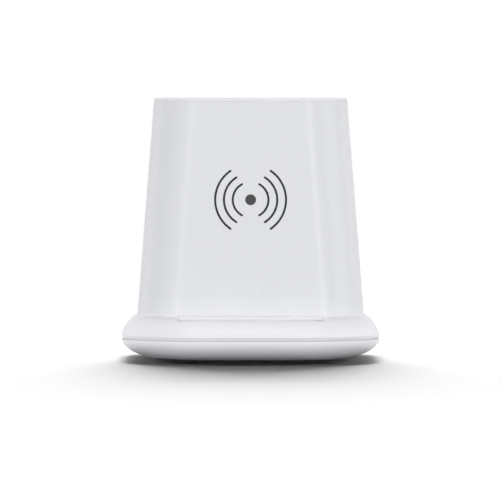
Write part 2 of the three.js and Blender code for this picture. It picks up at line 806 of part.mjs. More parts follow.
// The socket's contact tongue on its block.
function socketContacts() {
  const backY = socketMouthY - socketLength + 2 * socketShell;
  const width = socketWidth - socketHeight;
  const height = socketHeight - 4 * socketShell;
  const blade = block(
    -contactWidth / 2,
    backY + contactBlock / 2,
    socketZ - contactThickness / 2,
    contactWidth,
    contactBlock / 2 + contactLength,
    contactThickness,
  );
  return block(-width / 2, backY, socketZ - height / 2, width, contactBlock, height).add(blade);
}

// A part that stands on the board, by its size and the place of its middle.
function onBoard(size, x, y) {
  return block(x - size.x / 2, y - size.y / 2, boardTopZ, size.x, size.y, size.z);
}

// Round can on its square foot.
function filterCapacitor() {
  const y = boardFrontY + can.inset;
  const body = post(can.offset, y, boardTopZ, boardTopZ + can.height, can.radius);
  return onBoard(can, can.offset, y).add(body);
}

// Power inductor: a block with rounded corners.
function powerInductor() {
  const body = plate(roundedOutline(inductor.x, inductor.y, inductor.corner), inductor.z, 1);
  return body.translate([-inductor.offset, boardFrontY + inductor.inset, boardTopZ]);
}

// Light pipe from the lamp on the board out through the rear.
function statusLightPipe() {
  const front = boardRearY - led.rearInset + led.y / 2 + lightPipe.ledGap;
  const rear = baseRearY - lightPipe.setback;
  const rod = (radius, length) => {
    const geometry = new THREE.CylinderGeometry(radius, radius, length, smallSides);
    return toSolid(geometry.translate(led.offset, front + length / 2, socketZ));
  };
  return rod(lightPipe.radius, rear - front).add(rod(lightPipe.flange, lightPipe.flangeLength));
}

// Finishes
function finish(color, roughness, metalness = 0) {
  return new THREE.MeshStandardMaterial({ color, roughness, metalness });
}
const whiteGloss = finish(0xe6e7ea, 0.28);
const whiteCover = finish(0xe9e8ed, 0.3);
const whiteSilicone = finish(0xe4e4e8, 0.55);
const greyRubber = finish(0x3c3d40, 0.85);
const darkInk = finish(0x4a4b4d, 0.6);
const whiteNylon = finish(0xe0ddd2, 0.5);
const blackPlastic = finish(0x26272a, 0.6);
const ferrite = finish(0x4a4a4c, 0.8);
const copper = finish(0xb56a3c, 0.4, 0.9);
const greenBoard = finish(0x1f5f3c, 0.5);
const steel = finish(0xa8abb0, 0.35, 0.9);
const zincSteel = finish(0xc3c6ca, 0.35, 0.9);
const ceramic = finish(0xb9a37d, 0.6);
const clearAcrylic = finish(0xeef2f5, 0.15);

const holder = new THREE.Group();

function add(parent, name, solid, material) {
  const mesh = new THREE.Mesh(toGeometry(solid), material);
  mesh.name = name;
  parent.add(mesh);
  return mesh;
}

// Shells and the pad
add(holder, 'base_bottom_cover', bottomCover(), whiteCover);
add(holder, 'base_top_cover', topCover(), whiteCover);
add(holder, 'tower_shell', towerShell(), whiteGloss);
add(holder, 'pen_cup', penCup(), whiteGloss);
add(holder, 'phone_rest_pad', phoneRestPad(), whiteSilicone);

// Feet and the screws that hold the covers and the cup
for (const [x, y, place] of fourPlaces(footX, footY)) {
  add(holder, `rubber_foot_${place}`, foot(), greyRubber).position.set(x, y, 0);
  const driven = add(holder, `cover_screw_${place}`, screw(coverScrew), zincSteel);
  driven.position.set(x, y, footThickness + headWellDepth);
}
for (const [x, y, place] of cupScrewPlaces()) {
  add(holder, `cup_screw_${place}`, screw(cupScrew), zincSteel).position.set(x, y, tubZ);
}

// Coil, its carrier and the printed symbol, in the frame of the front wall
holder.add(wallFrame);
add(wallFrame, 'coil_tray', coilTray(), blackPlastic).position.z = -trayDepth - trayThickness;
add(wallFrame, 'ferrite_sheet', ferriteSheet(), ferrite).position.z = -ferriteDepth - ferriteThickness;
for (const [x, v, place] of fourPlaces(trayPostX, trayPostV)) {
  const name = `tray_screw_${place.replace('front', 'lower').replace('rear', 'upper')}`;
  const driven = add(wallFrame, name, screw(trayScrew), zincSteel);
  driven.position.set(x, v, -trayDepth - trayThickness - turnedGap);
}
const dot = turned([[0, 0], [symbolDotRadius, 0], [symbolDotRadius, symbolInk], [0, symbolInk]], footSides);
add(wallFrame, 'symbol_dot', dot, darkInk).position.z = symbolLift;
for (const [i, { name, reach }] of symbolWaves.entries()) {
  const radius = symbolWaveRadius + i * symbolWavePitch;
  const left = plate(waveOutline(radius, reach, Math.PI), symbolInk, arcSteps);
  const right = plate(waveOutline(radius, reach, 0), symbolInk, arcSteps);
  add(wallFrame, `symbol_wave_left_${name}`, left, darkInk).position.z = symbolLift;
  add(wallFrame, `symbol_wave_right_${name}`, right, darkInk).position.z = symbolLift;
}
add(holder, 'charging_coil', chargingCoil(), copper);
add(holder, 'temperature_sensor', temperatureSensor(), blackPlastic);

// Board and what is on it
add(holder, 'circuit_board', circuitBoard(), greenBoard);
for (const [x, y, place] of boardScrewPlaces()) {
  const driven = add(holder, `board_screw_${place}`, screw(boardScrew), zincSteel);
  driven.position.set(x, y, boardTopZ);
  driven.rotation.x = Math.PI;
}
add(holder, 'usb_socket', socketTube(), steel);
add(holder, 'usb_contact_tongue', socketContacts(), blackPlastic);
add(holder, 'coil_connector', onBoard(connector, 0, boardFrontY + connector.inset), whiteNylon);
const plugBody = block(-plug.x / 2, plugFrontY, boardTopZ + plug.lift, plug.x, plug.y, plug.z);
add(holder, 'coil_plug', plugBody, whiteNylon);
const capacitorPlaces = [-capacitor.offset - capacitor.pitch, -capacitor.offset];
capacitorPlaces.push(capacitor.offset, capacitor.offset + capacitor.pitch);
for (const [i, x] of capacitorPlaces.entries()) {
  const body = onBoard(capacitor, x, boardFrontY + capacitor.inset);
  add(holder, `resonant_capacitor_${i + 1}`, body, ceramic);
}
add(holder, 'bridge_chip_left', onBoard(bridge, -bridge.offset, boardFrontY + bridge.inset), blackPlastic);
add(holder, 'bridge_chip_right', onBoard(bridge, bridge.offset, boardFrontY + bridge.inset), blackPlastic);
add(holder, 'controller_chip', onBoard(controller, 0, boardFrontY + controller.inset), blackPlastic);
add(holder, 'power_inductor', powerInductor(), ferrite);
add(holder, 'filter_capacitor', filterCapacitor(), steel);
add(holder, 'status_led', onBoard(led, led.offset, boardRearY - led.rearInset), whiteNylon);
add(holder, 'status_light_pipe', statusLightPipe(), clearAcrylic);

export default holder;
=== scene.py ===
import math
import bmesh
import bpy
from mathutils import Matrix, Vector


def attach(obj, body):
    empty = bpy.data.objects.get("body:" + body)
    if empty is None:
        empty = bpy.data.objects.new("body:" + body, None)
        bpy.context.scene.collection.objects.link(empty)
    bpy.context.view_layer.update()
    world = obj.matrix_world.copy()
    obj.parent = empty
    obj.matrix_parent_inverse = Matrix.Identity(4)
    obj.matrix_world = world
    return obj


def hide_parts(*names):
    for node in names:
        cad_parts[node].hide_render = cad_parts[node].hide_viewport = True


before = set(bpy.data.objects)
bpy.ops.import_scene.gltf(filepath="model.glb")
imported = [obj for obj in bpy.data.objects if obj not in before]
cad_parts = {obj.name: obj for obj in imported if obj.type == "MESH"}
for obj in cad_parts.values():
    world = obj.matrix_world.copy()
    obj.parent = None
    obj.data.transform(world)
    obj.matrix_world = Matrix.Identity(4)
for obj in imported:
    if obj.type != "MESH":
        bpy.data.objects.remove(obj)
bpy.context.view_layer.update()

# THE VIEW
# A long lens from almost two metres away, level with the rim and pitched down a little, so that
# upright lines stay upright. Depth of field and shift are off.
MM = 0.001
LENS = 345.2
VIEW_PLACE = (-0.24, -1950, 106)
VIEW_DOWN = 1.82
view_data = bpy.data.cameras.new("front_view")
view_data.sensor_width = 36
view_data.lens = LENS
view_data.clip_start = 0.1
view_data.clip_end = 30
view = bpy.data.objects.new("front_view", view_data)
view.location = [along * MM for along in VIEW_PLACE]
view.rotation_euler = (math.radians(90 - VIEW_DOWN), 0, 0)
bpy.context.scene.collection.objects.link(view)
bpy.context.scene.camera = view

# LOWER COVER OF THE BASE
# A shallow dish, injection moulded in white ABS with a satin gloss. Its upper edge is rounded a
# little, so that the parting line shows, and a tongue on it stands inside the upper cover.
BASE_HALF = 52
BASE_CORNER = 32
DESK_GAP = 1.1
LOWER_TOP_Z = 9.3
LOWER_TOP_INSET = 0.2
LOWER_SWEEP = 18
BASE_WALL = 2.4
INNER_FLOOR_Z = 3.5
EDGE_ROUND = 0.3
TONGUE_INSET = 1.5
TONGUE_TOP_Z = 12.3
FOOT_PLACES = [(-26, -26), (26, -26), (-26, 26), (26, 26)]
BOARD_Z = 7.4
BOARD_SCREW_PLACES = [(-24.5, 13.82), (24.5, 13.82), (-21, 42.82), (21, 42.82)]
SOCKET_Z = 10.23
SOCKET_OPENING = (4.82, 1.98)
LAMP_X = 9.5
LIGHT_HOLE_RADIUS = 1.5
REAR_CUT = (53, 47.2)
# Bottom, top and radius of the round bosses and wells, and how many sides a fine one has
FOOT_BOSS = (2.3, 6, 5)
FOOT_WELL = (0, 2.1, 5.3, 48)
HEAD_WELL = (2, 4.6, 3.15)
SHANK_HOLE = (4, 7, 1.6)
PILOT_HOLE = (3.8, 8, 1.05)
BOARD_BOSS_FEET = (2.3, 2.3, 5, 5)
BOARD_BOSS_RADIUS = 2.6


def quarter(steps):
    """The angles of a quarter turn, from 0 up."""
    return [math.pi / 2 * i / steps for i in range(steps + 1)]


def edge_round(radius, steps):
    """How far down and in each step of a rounded edge lies, from its foot up to its top."""
    return [(radius * (1 - math.sin(a)), radius * (1 - math.cos(a))) for a in quarter(steps)]


def rounded_ring(half_width, front, rear, radius, z, steps=20):
    """A rectangle with round corners at one height, anticlockwise from above."""
    corners = [
        (half_width - radius, rear - radius),
        (radius - half_width, rear - radius),
        (radius - half_width, front + radius),
        (half_width - radius, front + radius),
    ]
    ring = []
    for turn, (x, y) in enumerate(corners):
        for angle in quarter(steps):
            around = turn * math.pi / 2 + angle
            ring.append((x + radius * math.cos(around), y + radius * math.sin(around), z))
    return ring


def base_ring(z, inset):
    """The base's outline at one height, drawn in by an inset."""
    half = BASE_HALF - inset
    return rounded_ring(half, -half, half, BASE_CORNER - inset, z)


def full_turn(sides):
    """The angles of a full turn, each once."""
    return [2 * math.pi * i / sides for i in range(sides)]


def post(x, y, bottom, top, radius, sides=32):
    """The two rings of an upright post."""
    circle = [(x + radius * math.cos(a), y + radius * math.sin(a)) for a in full_turn(sides)]
    return [[(px, py, z) for px, py in circle] for z in (bottom, top)]


def make_object(name, mesh):
    """Links a mesh into the scene as an object at the origin."""
    made = bpy.data.objects.new(name, mesh)
    bpy.context.scene.collection.objects.link(made)
    return made


def solid(name, rings):
    """A closed body through rings in millimetres, with a flat face at either end."""
    count = len(rings[0])
    last = count * (len(rings) - 1)
    points = [Vector(p) * MM for ring in rings for p in ring]
    faces = [list(range(count))[::-1], list(range(last, last + count))]
    for low in range(0, last, count):
        for i in range(count):
            following = (i + 1) % count
            faces.append((low + i, low + following, low + following + count, low + i + count))
    mesh = bpy.data.meshes.new(name)
    mesh.from_pydata(points, [], faces)
    return make_object(name, mesh)


def frozen(piece):
    """Applies the piece's modifiers, so that a plain mesh is left."""
    evaluated = piece.evaluated_get(bpy.context.evaluated_depsgraph_get())
    mesh = bpy.data.meshes.new_from_object(evaluated)
    piece.modifiers.clear()
    piece.data = mesh
    return piece


def carved(piece, operation, tools):
    """Joins tool bodies to the piece or cuts them from it, and takes the tools away."""
    for tool in tools:
        step = piece.modifiers.new(tool.name, "BOOLEAN")
        step.operation = operation
        step.solver = "EXACT"
        step.object = tool
    frozen(piece)
    for tool in tools:
        bpy.data.objects.remove(tool)
    return piece


def smoothed(piece, angle=35):
    """Smooth shading with sharp edges kept, and flat faces that stay flat beside round ones."""
    piece.data.shade_smooth()
    piece.data.set_sharp_from_angle(angle=math.radians(angle))
    step = piece.modifiers.new("even_normals", "WEIGHTED_NORMAL")
    step.keep_sharp = True
    return frozen(piece)


def painted(piece, material):
    """Gives the whole piece one material."""
    piece.data.polygons.foreach_set("material_index", [0] * len(piece.data.polygons))
    piece.data.materials.clear()
    piece.data.materials.append(material)
    return piece


def hand_over(piece, slot, *replaced):
    """Puts a finished piece in the place of CAD nodes."""
    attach(piece, "root")
    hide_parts(*replaced)
    return piece


def oval_ring(half_width, radius, z, y):
    """A flat-oval ring square to Y, anticlockwise from the front."""
    ring = []
    for side, start in ((1, -math.pi / 2), (-1, math.pi / 2)):
        for i in range(13):
            angle = start + math.pi * i / 12
            x = side * (half_width - radius) + radius * math.cos(angle)
            ring.append((x, y, z + radius * math.sin(angle)))
    return ring


def lying_rod(name, x, z, sections, sides):
    """A round body along Y, through circles given by y and radius from the rear to the front."""
    rings = [
        [(x + radius * math.cos(a), y, z + radius * math.sin(a)) for a in full_turn(sides)]
        for y, radius in sections
    ]
    return solid(name, rings)


def rear_openings():
    """What cuts the power socket's opening and the light pipe's hole into a cover's rear."""
    socket = solid("socket_opening", [oval_ring(*SOCKET_OPENING, SOCKET_Z, y) for y in REAR_CUT])
    hole = [(y, LIGHT_HOLE_RADIUS) for y in REAR_CUT]
    return [socket, lying_rod("light_hole", LAMP_X, SOCKET_Z, hole, 32)]


def hex_to_linear(code):
    """A colour written as sRGB hex, as the linear colour that a shader takes."""
    parts = [int(code[i : i + 2], 16) / 255 for i in (0, 2, 4)]
    linear = [c / 12.92 if c <= 0.04045 else ((c + 0.055) / 1.055) ** 2.4 for c in parts]
    return (*linear, 1)


def feed(node, inputs):
    """Sets inputs of a node, by name or number: each to a value or, to link it, to an output, to
    a node for its first output, or to a list of these."""
    for socket, value in inputs.items():
        for part in value if isinstance(value, list) else [value]:
            if isinstance(part, bpy.types.Node):
                part = part.outputs[0]
            if isinstance(part, bpy.types.NodeSocket):
                node.id_data.links.new(part, node.inputs[socket])
            else:
                node.inputs[socket].default_value = part


def add_node(tree, kind, inputs=(), **settings):
    """Adds a node with its settings and feeds its inputs, which a tuple gives in their order."""
    made = tree.nodes.new(kind)
    for name, value in settings.items():
        setattr(made, name, value)
    feed(made, inputs if isinstance(inputs, dict) else dict(enumerate(inputs)))
    return made


def new_material(name, fixed):
    """A material with what is the same all over it: its node tree, its Principled shader and its
    Object coordinates."""
    made = bpy.data.materials.new(name)
    made.use_nodes = True
    tree = made.node_tree
    tree.nodes.clear()
    shader = add_node(tree, "ShaderNodeBsdfPrincipled", fixed)
    add_node(tree, "ShaderNodeOutputMaterial", {"Surface": shader})
    place = add_node(tree, "ShaderNodeTexCoord").outputs["Object"]
    return made, tree, shader, place


def lay_pattern(shader, pattern, colours=None, roughness=None, relief=None):
    """Lets a pattern vary a surface: its colour between two hex codes, its roughness between two
    numbers, and its height by a strength and a depth in millimetres, over any relief it has."""
    tree = shader.id_data
    if colours:
        mix = {"Factor": pattern, 6: hex_to_linear(colours[0]), 7: hex_to_linear(colours[1])}
        mixed = add_node(tree, "ShaderNodeMix", mix, data_type="RGBA")
        feed(shader, {"Base Color": mixed.outputs[2]})
    if roughness:
        span = {"Value": pattern, "To Min": roughness[0], "To Max": roughness[1]}
        feed(shader, {"Roughness": add_node(tree, "ShaderNodeMapRange", span)})
    if relief:
        height = {"Height": pattern, "Strength": relief[0], "Distance": relief[1] * MM}
        bump = add_node(tree, "ShaderNodeBump", height)
        if shader.inputs["Normal"].is_linked:
            feed(bump, {"Normal": shader.inputs["Normal"].links[0].from_socket})
        feed(shader, {"Normal": bump})


def moulded_abs(name, light, dark, roughness):
    """Injection-moulded ABS from a fine-lapped tool: an even satin gloss whose reflections
    waver a little where the plastic flowed, over a grain that only softens them."""
    made, tree, shader, place = new_material(name, {"IOR": 1.53})
    # Flow of the plastic, about 30 mm from swell to swell
    flow = add_node(tree, "ShaderNodeTexNoise", {"Vector": place, "Scale": 33, "Detail": 2})
    lay_pattern(shader, flow, colours=(light, dark), relief=(0.12, 0.4))
    # Tool grain of about 0.4 mm, coarser than the real 0.05 mm so that it can show at all
    grain = add_node(tree, "ShaderNodeTexNoise", {"Vector": place, "Scale": 2500, "Detail": 3})
    gloss = (roughness - 0.04, roughness + 0.04)
    lay_pattern(shader, grain, roughness=gloss, relief=(0.1, 0.02))
    return made


def lower_profile(angle, inset, floor_z):
    """A ring of the dish at one angle of its sweep, from its inset at the top to its floor."""
    drawn_in = inset + (LOWER_SWEEP - inset) * (1 - math.cos(angle))
    return base_ring(LOWER_TOP_Z - (LOWER_TOP_Z - floor_z) * math.sin(angle), drawn_in)


lower_edge = [
    base_ring(LOWER_TOP_Z - down, LOWER_TOP_INSET + inward) for down, inward in edge_round(EDGE_ROUND, 5)
]
lower_cover = solid(
    "lower_cover",
    [lower_profile(a, LOWER_TOP_INSET, DESK_GAP) for a in quarter(22)[:0:-1]]
    + lower_edge
    + [
        base_ring(LOWER_TOP_Z, TONGUE_INSET),
        base_ring(TONGUE_TOP_Z, TONGUE_INSET),
        base_ring(TONGUE_TOP_Z, BASE_WALL),
    ]
    + [lower_profile(a, BASE_WALL, INNER_FLOOR_Z) for a in quarter(16)],
)
bosses = [solid("foot_boss", post(x, y, *FOOT_BOSS)) for x, y in FOOT_PLACES] + [
    solid("board_boss", post(x, y, foot, BOARD_Z, BOARD_BOSS_RADIUS))
    for (x, y), foot in zip(BOARD_SCREW_PLACES, BOARD_BOSS_FEET)
]
wells = [
    solid("well", post(x, y, *well))
    for x, y in FOOT_PLACES
    for well in (FOOT_WELL, HEAD_WELL, SHANK_HOLE)
] + [solid("pilot_hole", post(x, y, *PILOT_HOLE)) for x, y in BOARD_SCREW_PLACES]
carved(lower_cover, "UNION", bosses)
carved(lower_cover, "DIFFERENCE", wells + rear_openings())
# The covers are painted a lighter white than the tower and cup, though all are one ABS: this is painted
# light on the base.
cover_abs_painted_light = moulded_abs("white_abs_cover_painted_light", "F1F0F5", "EEEDF2", 0.3)
hand_over(smoothed(painted(lower_cover, cover_abs_painted_light)), "white_cover", "base_bottom_cover")

# UPPER COVER OF THE BASE
# A thin rounded lid of the same white ABS, whose lower edge slants in to the parting line. A tub in
# it takes the tower's foot, a pocket takes the rest strip, and four pillars take the screws.
WIDEST_Z = 9.4
UPPER_SWEEP = 10.5
PLATEAU_Z = 18.5
UPPER_HEIGHT = PLATEAU_Z - WIDEST_Z
COVER_TOP = 2.2
SKIRT_WALL = 1.3
SKIRT_Z = 9.45
FLANK_TOP_Z = 10.8
FLANK_INSET = 0.5
SHOULDER_Z = 12.5
SEAT_Z = 16.4
TUB_Z = 14.2
TUB_WALL = 1.6
SEAT_GAP = 0.06
TOWER_FRONT = -36
TOWER_REAR = 45.7
TOWER_HALF = 45.7
TOWER_CORNER = 18
SIDE_LEAN = math.atan(6.6 / 87.5)
FRONT_LEAN = math.radians(8)
REAR_LEAN = math.radians(4.3)
CUP_SCREW_PLACES = [(-32, -16), (32, -16), (-32, 34), (32, 34)]
CUP_HOLE_RADIUS = 1.6
PILLAR_RADIUS = 3.5
PILLAR_BORE = (5, 13, 1.45)
WIRE_SLOT = (7, -32.4, -27.4, 0.5)
STRIP_HALF_WIDTH = 29
STRIP_FRONT = -46.2
STRIP_REAR = -37
STRIP_CORNER = 1
STRIP_SEAT_Z = 17.6
STRIP_GAP = 0.06
CUT_PAST = 1


def tower_ring(z, inset=0, front_inset=None):
    """The tower's outline at one height, its walls drawn in and its front wall further."""
    front_inset = inset if front_inset is None else front_inset
    up = z - PLATEAU_Z
    half = TOWER_HALF - up * math.tan(SIDE_LEAN) - inset / math.cos(SIDE_LEAN)
    front = TOWER_FRONT + up * math.tan(FRONT_LEAN) + front_inset / math.cos(FRONT_LEAN)
    rear = TOWER_REAR - up * math.tan(REAR_LEAN) - inset / math.cos(REAR_LEAN)
    return rounded_ring(half, front, rear, TOWER_CORNER - inset, z)


def upper_inset(z):
    """How far the lid's outside is drawn in at one height."""
    share = (z - WIDEST_Z) / UPPER_HEIGHT
    return UPPER_SWEEP * (1 - math.sqrt(1 - share * share))


def strip_ring(z, inset):
    """The outline of the rest strip, or of its pocket, at one height."""
    return rounded_ring(
        STRIP_HALF_WIDTH - inset, STRIP_FRONT + inset, STRIP_REAR - inset, STRIP_CORNER - inset, z, 6
    )


flank_angle = math.asin((FLANK_TOP_Z - WIDEST_Z) / UPPER_HEIGHT)
flank_top_inset = upper_inset(FLANK_TOP_Z)
lid_edge = [
    base_ring(SKIRT_Z, FLANK_INSET + 0.06),
    base_ring(SKIRT_Z + 0.06, FLANK_INSET),
    base_ring(FLANK_TOP_Z - 0.1, flank_top_inset + 0.04),
    base_ring(FLANK_TOP_Z, flank_top_inset),
]
lid_angles = [flank_angle + (math.pi / 2 - flank_angle) * i / 22 for i in range(1, 23)]
upper_cover = solid(
    "upper_cover",
    [
        base_ring(
            SHOULDER_Z + (PLATEAU_Z - COVER_TOP - SHOULDER_Z) * math.sin(a),
            BASE_WALL + UPPER_SWEEP * (1 - math.cos(a)),
        )
        for a in reversed(quarter(12))
    ]
    + [base_ring(SHOULDER_Z, SKIRT_WALL), base_ring(SKIRT_Z, SKIRT_WALL)]
    + lid_edge
    + [
        base_ring(WIDEST_Z + UPPER_HEIGHT * math.sin(a), UPPER_SWEEP * (1 - math.cos(a)))
        for a in lid_angles
    ],
)
lid_form = solid(
    "lid_form",
    [base_ring(FLANK_TOP_Z, flank_top_inset + 0.1)]
    + [
        base_ring(WIDEST_Z + UPPER_HEIGHT * math.sin(a), 0.02 + UPPER_SWEEP * (1 - math.cos(a)))
        for a in lid_angles[:-1]
    ]
    + [base_ring(PLATEAU_Z - 0.02, UPPER_SWEEP)],
)
tub = solid("tub", [tower_ring(z, -0.3 - TUB_WALL) for z in (TUB_Z, PLATEAU_Z)])
carved(tub, "INTERSECT", [lid_form])
pillars = [solid("pillar", post(x, y, 6, TUB_Z + 1.1, PILLAR_RADIUS)) for x, y in FOOT_PLACES]
carved(upper_cover, "UNION", [tub] + pillars)
tub_floor = (TUB_Z - CUT_PAST, SEAT_Z + CUT_PAST)
above = PLATEAU_Z + CUT_PAST
hollows = [solid("seat", [tower_ring(z, -SEAT_GAP) for z in (SEAT_Z, above)])]
hollows += [solid("bore", post(x, y, *PILLAR_BORE)) for x, y in FOOT_PLACES]
hollows += [solid("cup_hole", post(x, y, *tub_floor, CUP_HOLE_RADIUS)) for x, y in CUP_SCREW_PLACES]
hollows.append(solid("wire_slot", [rounded_ring(*WIRE_SLOT, z, 4) for z in tub_floor]))
hollows.append(solid("strip_pocket", [strip_ring(z, -STRIP_GAP) for z in (STRIP_SEAT_Z, above)]))
carved(upper_cover, "DIFFERENCE", hollows + rear_openings())
hand_over(smoothed(painted(upper_cover, cover_abs_painted_light)), "white_cover", "base_top_cover")

# REST STRIP
# A strip of white silicone on the ledge, so that the phone doesn't slip. It is moulded with eased
# edges and lies in a pocket of the upper cover, 0.4 mm proud.
STRIP_TOP_Z = 18.9
STRIP_EASE = 0.35
rest_strip = solid(
    "rest_strip",
    [strip_ring(STRIP_SEAT_Z + up, inward) for up, inward in reversed(edge_round(STRIP_EASE, 4))]
    + [strip_ring(STRIP_TOP_Z - down, inward) for down, inward in edge_round(STRIP_EASE, 6)],
)


def moulded_silicone(name, colour, roughness):
    """Compression-moulded silicone: matt and soft, with the fine dull skin of its mould."""
    fixed = {"IOR": 1.41, "Base Color": hex_to_linear(colour)}
    made, tree, shader, place = new_material(name, fixed)
    skin = add_node(tree, "ShaderNodeTexNoise", {"Vector": place, "Scale": 2000, "Detail": 4})
    dull = (roughness - 0.08, roughness + 0.08)
    lay_pattern(shader, skin, roughness=dull, relief=(0.25, 0.03))
    return made


painted(rest_strip, moulded_silicone("white_silicone_skin", "E6E6EA", 0.55))
hand_over(smoothed(rest_strip), "white_silicone", "phone_rest_pad")

# TOWER SHELL
# A tapered tube of white ABS whose flat front wall leans back for the phone. One rule makes it:
# its wall follows a rounded rectangle, and each height is drawn in by the leans of its sides.
RIM_Z = 106
TOWER_WALL = 2.2
SHELL_TOP_Z = 104.4
SEAM_EASE = 0.12
SYMBOL_Z = RIM_Z - 40.9
WALL_Y = TOWER_FRONT + (SYMBOL_Z - PLATEAU_Z) * math.tan(FRONT_LEAN)
TRAY_POSTS = [(-22, -31.5), (22, -31.5), (-22, 31.5), (22, 31.5)]
TRAY_POST_RADIUS = 2.6
TRAY_BORE = (-2.4, 0.95)
TRAY_FRONT = 5.1
MATH = "ShaderNodeMath"


def new_tree(name, sizes):
    """A Geometry Nodes tree with a float input for each named size, in metres or radians."""
    tree = bpy.data.node_groups.new(name, "GeometryNodeTree")
    tree.interface.new_socket("Geometry", in_out="INPUT", socket_type="NodeSocketGeometry")
    tree.interface.new_socket("Geometry", in_out="OUTPUT", socket_type="NodeSocketGeometry")
    tree.interface.new_socket("Material", in_out="INPUT", socket_type="NodeSocketMaterial")
    for size in sizes:
        tree.interface.new_socket(size, in_out="INPUT", socket_type="NodeSocketFloat")
    given = add_node(tree, "NodeGroupInput").outputs
    return tree, given


def end_tree(tree, given, geometry):
    """Ends a tree in real geometry with its material."""
    real = add_node(tree, "GeometryNodeRealizeInstances", {"Geometry": geometry})
    finish = {"Geometry": real, "Material": given["Material"]}
    add_node(tree, "NodeGroupOutput", (add_node(tree, "GeometryNodeSetMaterial", finish),))


def grown(piece, tree, material, sizes):
    """Runs a tree on a piece with its sizes and leaves a plain mesh that faces outwards."""
    step = piece.modifiers.new(tree.name, "NODES")
    step.node_group = tree
    for item in tree.interface.items_tree:
        if item.in_out == "INPUT" and item.name == "Material":
            step[item.identifier] = material
        elif item.in_out == "INPUT" and item.name in sizes:
            step[item.identifier] = float(sizes[item.name])
    frozen(piece)
    shape = bmesh.new()
    shape.from_mesh(piece.data)
    bmesh.ops.recalc_face_normals(shape, faces=shape.faces)
    shape.to_mesh(piece.data)
    shape.free()
    return painted(piece, material)


tower_sizes = {
    "Width": 2 * TOWER_HALF * MM,
    "Depth": (TOWER_REAR - TOWER_FRONT) * MM,
    "Middle Y": (TOWER_REAR + TOWER_FRONT) / 2 * MM,
    "Corner Radius": TOWER_CORNER * MM,
    "Foot Z": PLATEAU_Z * MM,
    "Side Lean": SIDE_LEAN,
    "Front Lean": FRONT_LEAN,
    "Rear Lean": REAR_LEAN,
}
tree, given = new_tree("leaning_tube", tower_sizes)
outline = add_node(
    tree, "GeometryNodeCurvePrimitiveQuadrilateral", {"Width": given["Width"], "Height": given["Depth"]}
)
corners = {"Curve": outline, "Radius": given["Corner Radius"], "Count": 24}
rounded = add_node(tree, "GeometryNodeFilletCurve", corners, mode="POLY")
upright = add_node(tree, "GeometryNodeSetCurveNormal", {"Curve": rounded}, mode="Z_UP")
section = add_node(tree, "GeometryNodeMeshToCurve", {"Mesh": given["Geometry"]})
swept = add_node(tree, "GeometryNodeCurveToMesh", {"Curve": upright, "Profile Curve": section})
place = add_node(tree, "GeometryNodeInputPosition")
across, back, up = add_node(tree, "ShaderNodeSeparateXYZ", (place,)).outputs
above_foot = add_node(tree, MATH, (up, given["Foot Z"]), operation="SUBTRACT")
drawn_in = []
for lean in ("Side Lean", "Front Lean", "Rear Lean"):
    slope = add_node(tree, MATH, (given[lean],), operation="TANGENT")
    drawn_in.append(add_node(tree, MATH, (above_foot, slope), operation="MULTIPLY"))
side_in, front_in, rear_in = drawn_in
side = add_node(tree, MATH, (across,), operation="SIGN")
side_out = add_node(tree, MATH, (side, side_in), operation="MULTIPLY")
shift_x = add_node(tree, MATH, (side_out, -1), operation="MULTIPLY")
is_rear = add_node(tree, MATH, (back, 0), operation="GREATER_THAN")
both = add_node(tree, MATH, (front_in, rear_in), operation="ADD")
rear_out = add_node(tree, MATH, (is_rear, both), operation="MULTIPLY")
in_y = add_node(tree, MATH, (front_in, rear_out), operation="SUBTRACT")
shift_y = add_node(tree, MATH, (in_y, given["Middle Y"]), operation="ADD")
shift = add_node(tree, "ShaderNodeCombineXYZ", (shift_x, shift_y))
leaning = add_node(tree, "GeometryNodeSetPosition", {"Geometry": swept, "Offset": shift})
end_tree(tree, given, leaning)

# The wall's section: x is out from the outline, and y comes out pointing down
wall_points = [
    (0, SEAT_Z),
    (0, SHELL_TOP_Z - SEAM_EASE),
    (-SEAM_EASE, SHELL_TOP_Z),
    (-TOWER_WALL, SHELL_TOP_Z),
    (-TOWER_WALL, SEAT_Z),
]
wall_mesh = bpy.data.meshes.new("tower_shell")
wall_mesh.from_pydata(
    [(x * MM, -z * MM, 0) for x, z in wall_points], [(i, (i + 1) % 5) for i in range(5)], []
)
# The tower and cup are painted a darker white than the covers, though all are one ABS: this is painted
# shade on the tower's walls and the cup.
shell_abs_painted_shade = moulded_abs("white_abs_shell_painted_shade", "E0E1E5", "DDDEE2", 0.28)
tower = grown(make_object("tower", wall_mesh), tree, shell_abs_painted_shade, tower_sizes)
wall_place = Matrix.Translation((0, WALL_Y * MM, SYMBOL_Z * MM))
wall_turn = wall_place @ Matrix.Rotation(math.pi / 2 - FRONT_LEAN, 4, "X")


def on_wall(piece, depth=0):
    """Stands a piece that is drawn lying flat on the front wall, or some depth behind its face."""
    piece.data.transform(wall_turn @ Matrix.Translation((0, 0, -depth * MM)))
    return piece


# Posts inside the front wall, bored for the screws of the tray
tray_posts = [
    on_wall(solid("post", post(x, v, -TRAY_FRONT, -1, TRAY_POST_RADIUS))) for x, v in TRAY_POSTS
]
post_bores = [
    on_wall(solid("bore", post(x, v, -TRAY_FRONT - CUT_PAST, *TRAY_BORE))) for x, v in TRAY_POSTS
]
carved(tower, "UNION", tray_posts)
carved(tower, "DIFFERENCE", post_bores)
hand_over(smoothed(painted(tower, shell_abs_painted_shade)), "white_gloss_shell", "tower_shell")

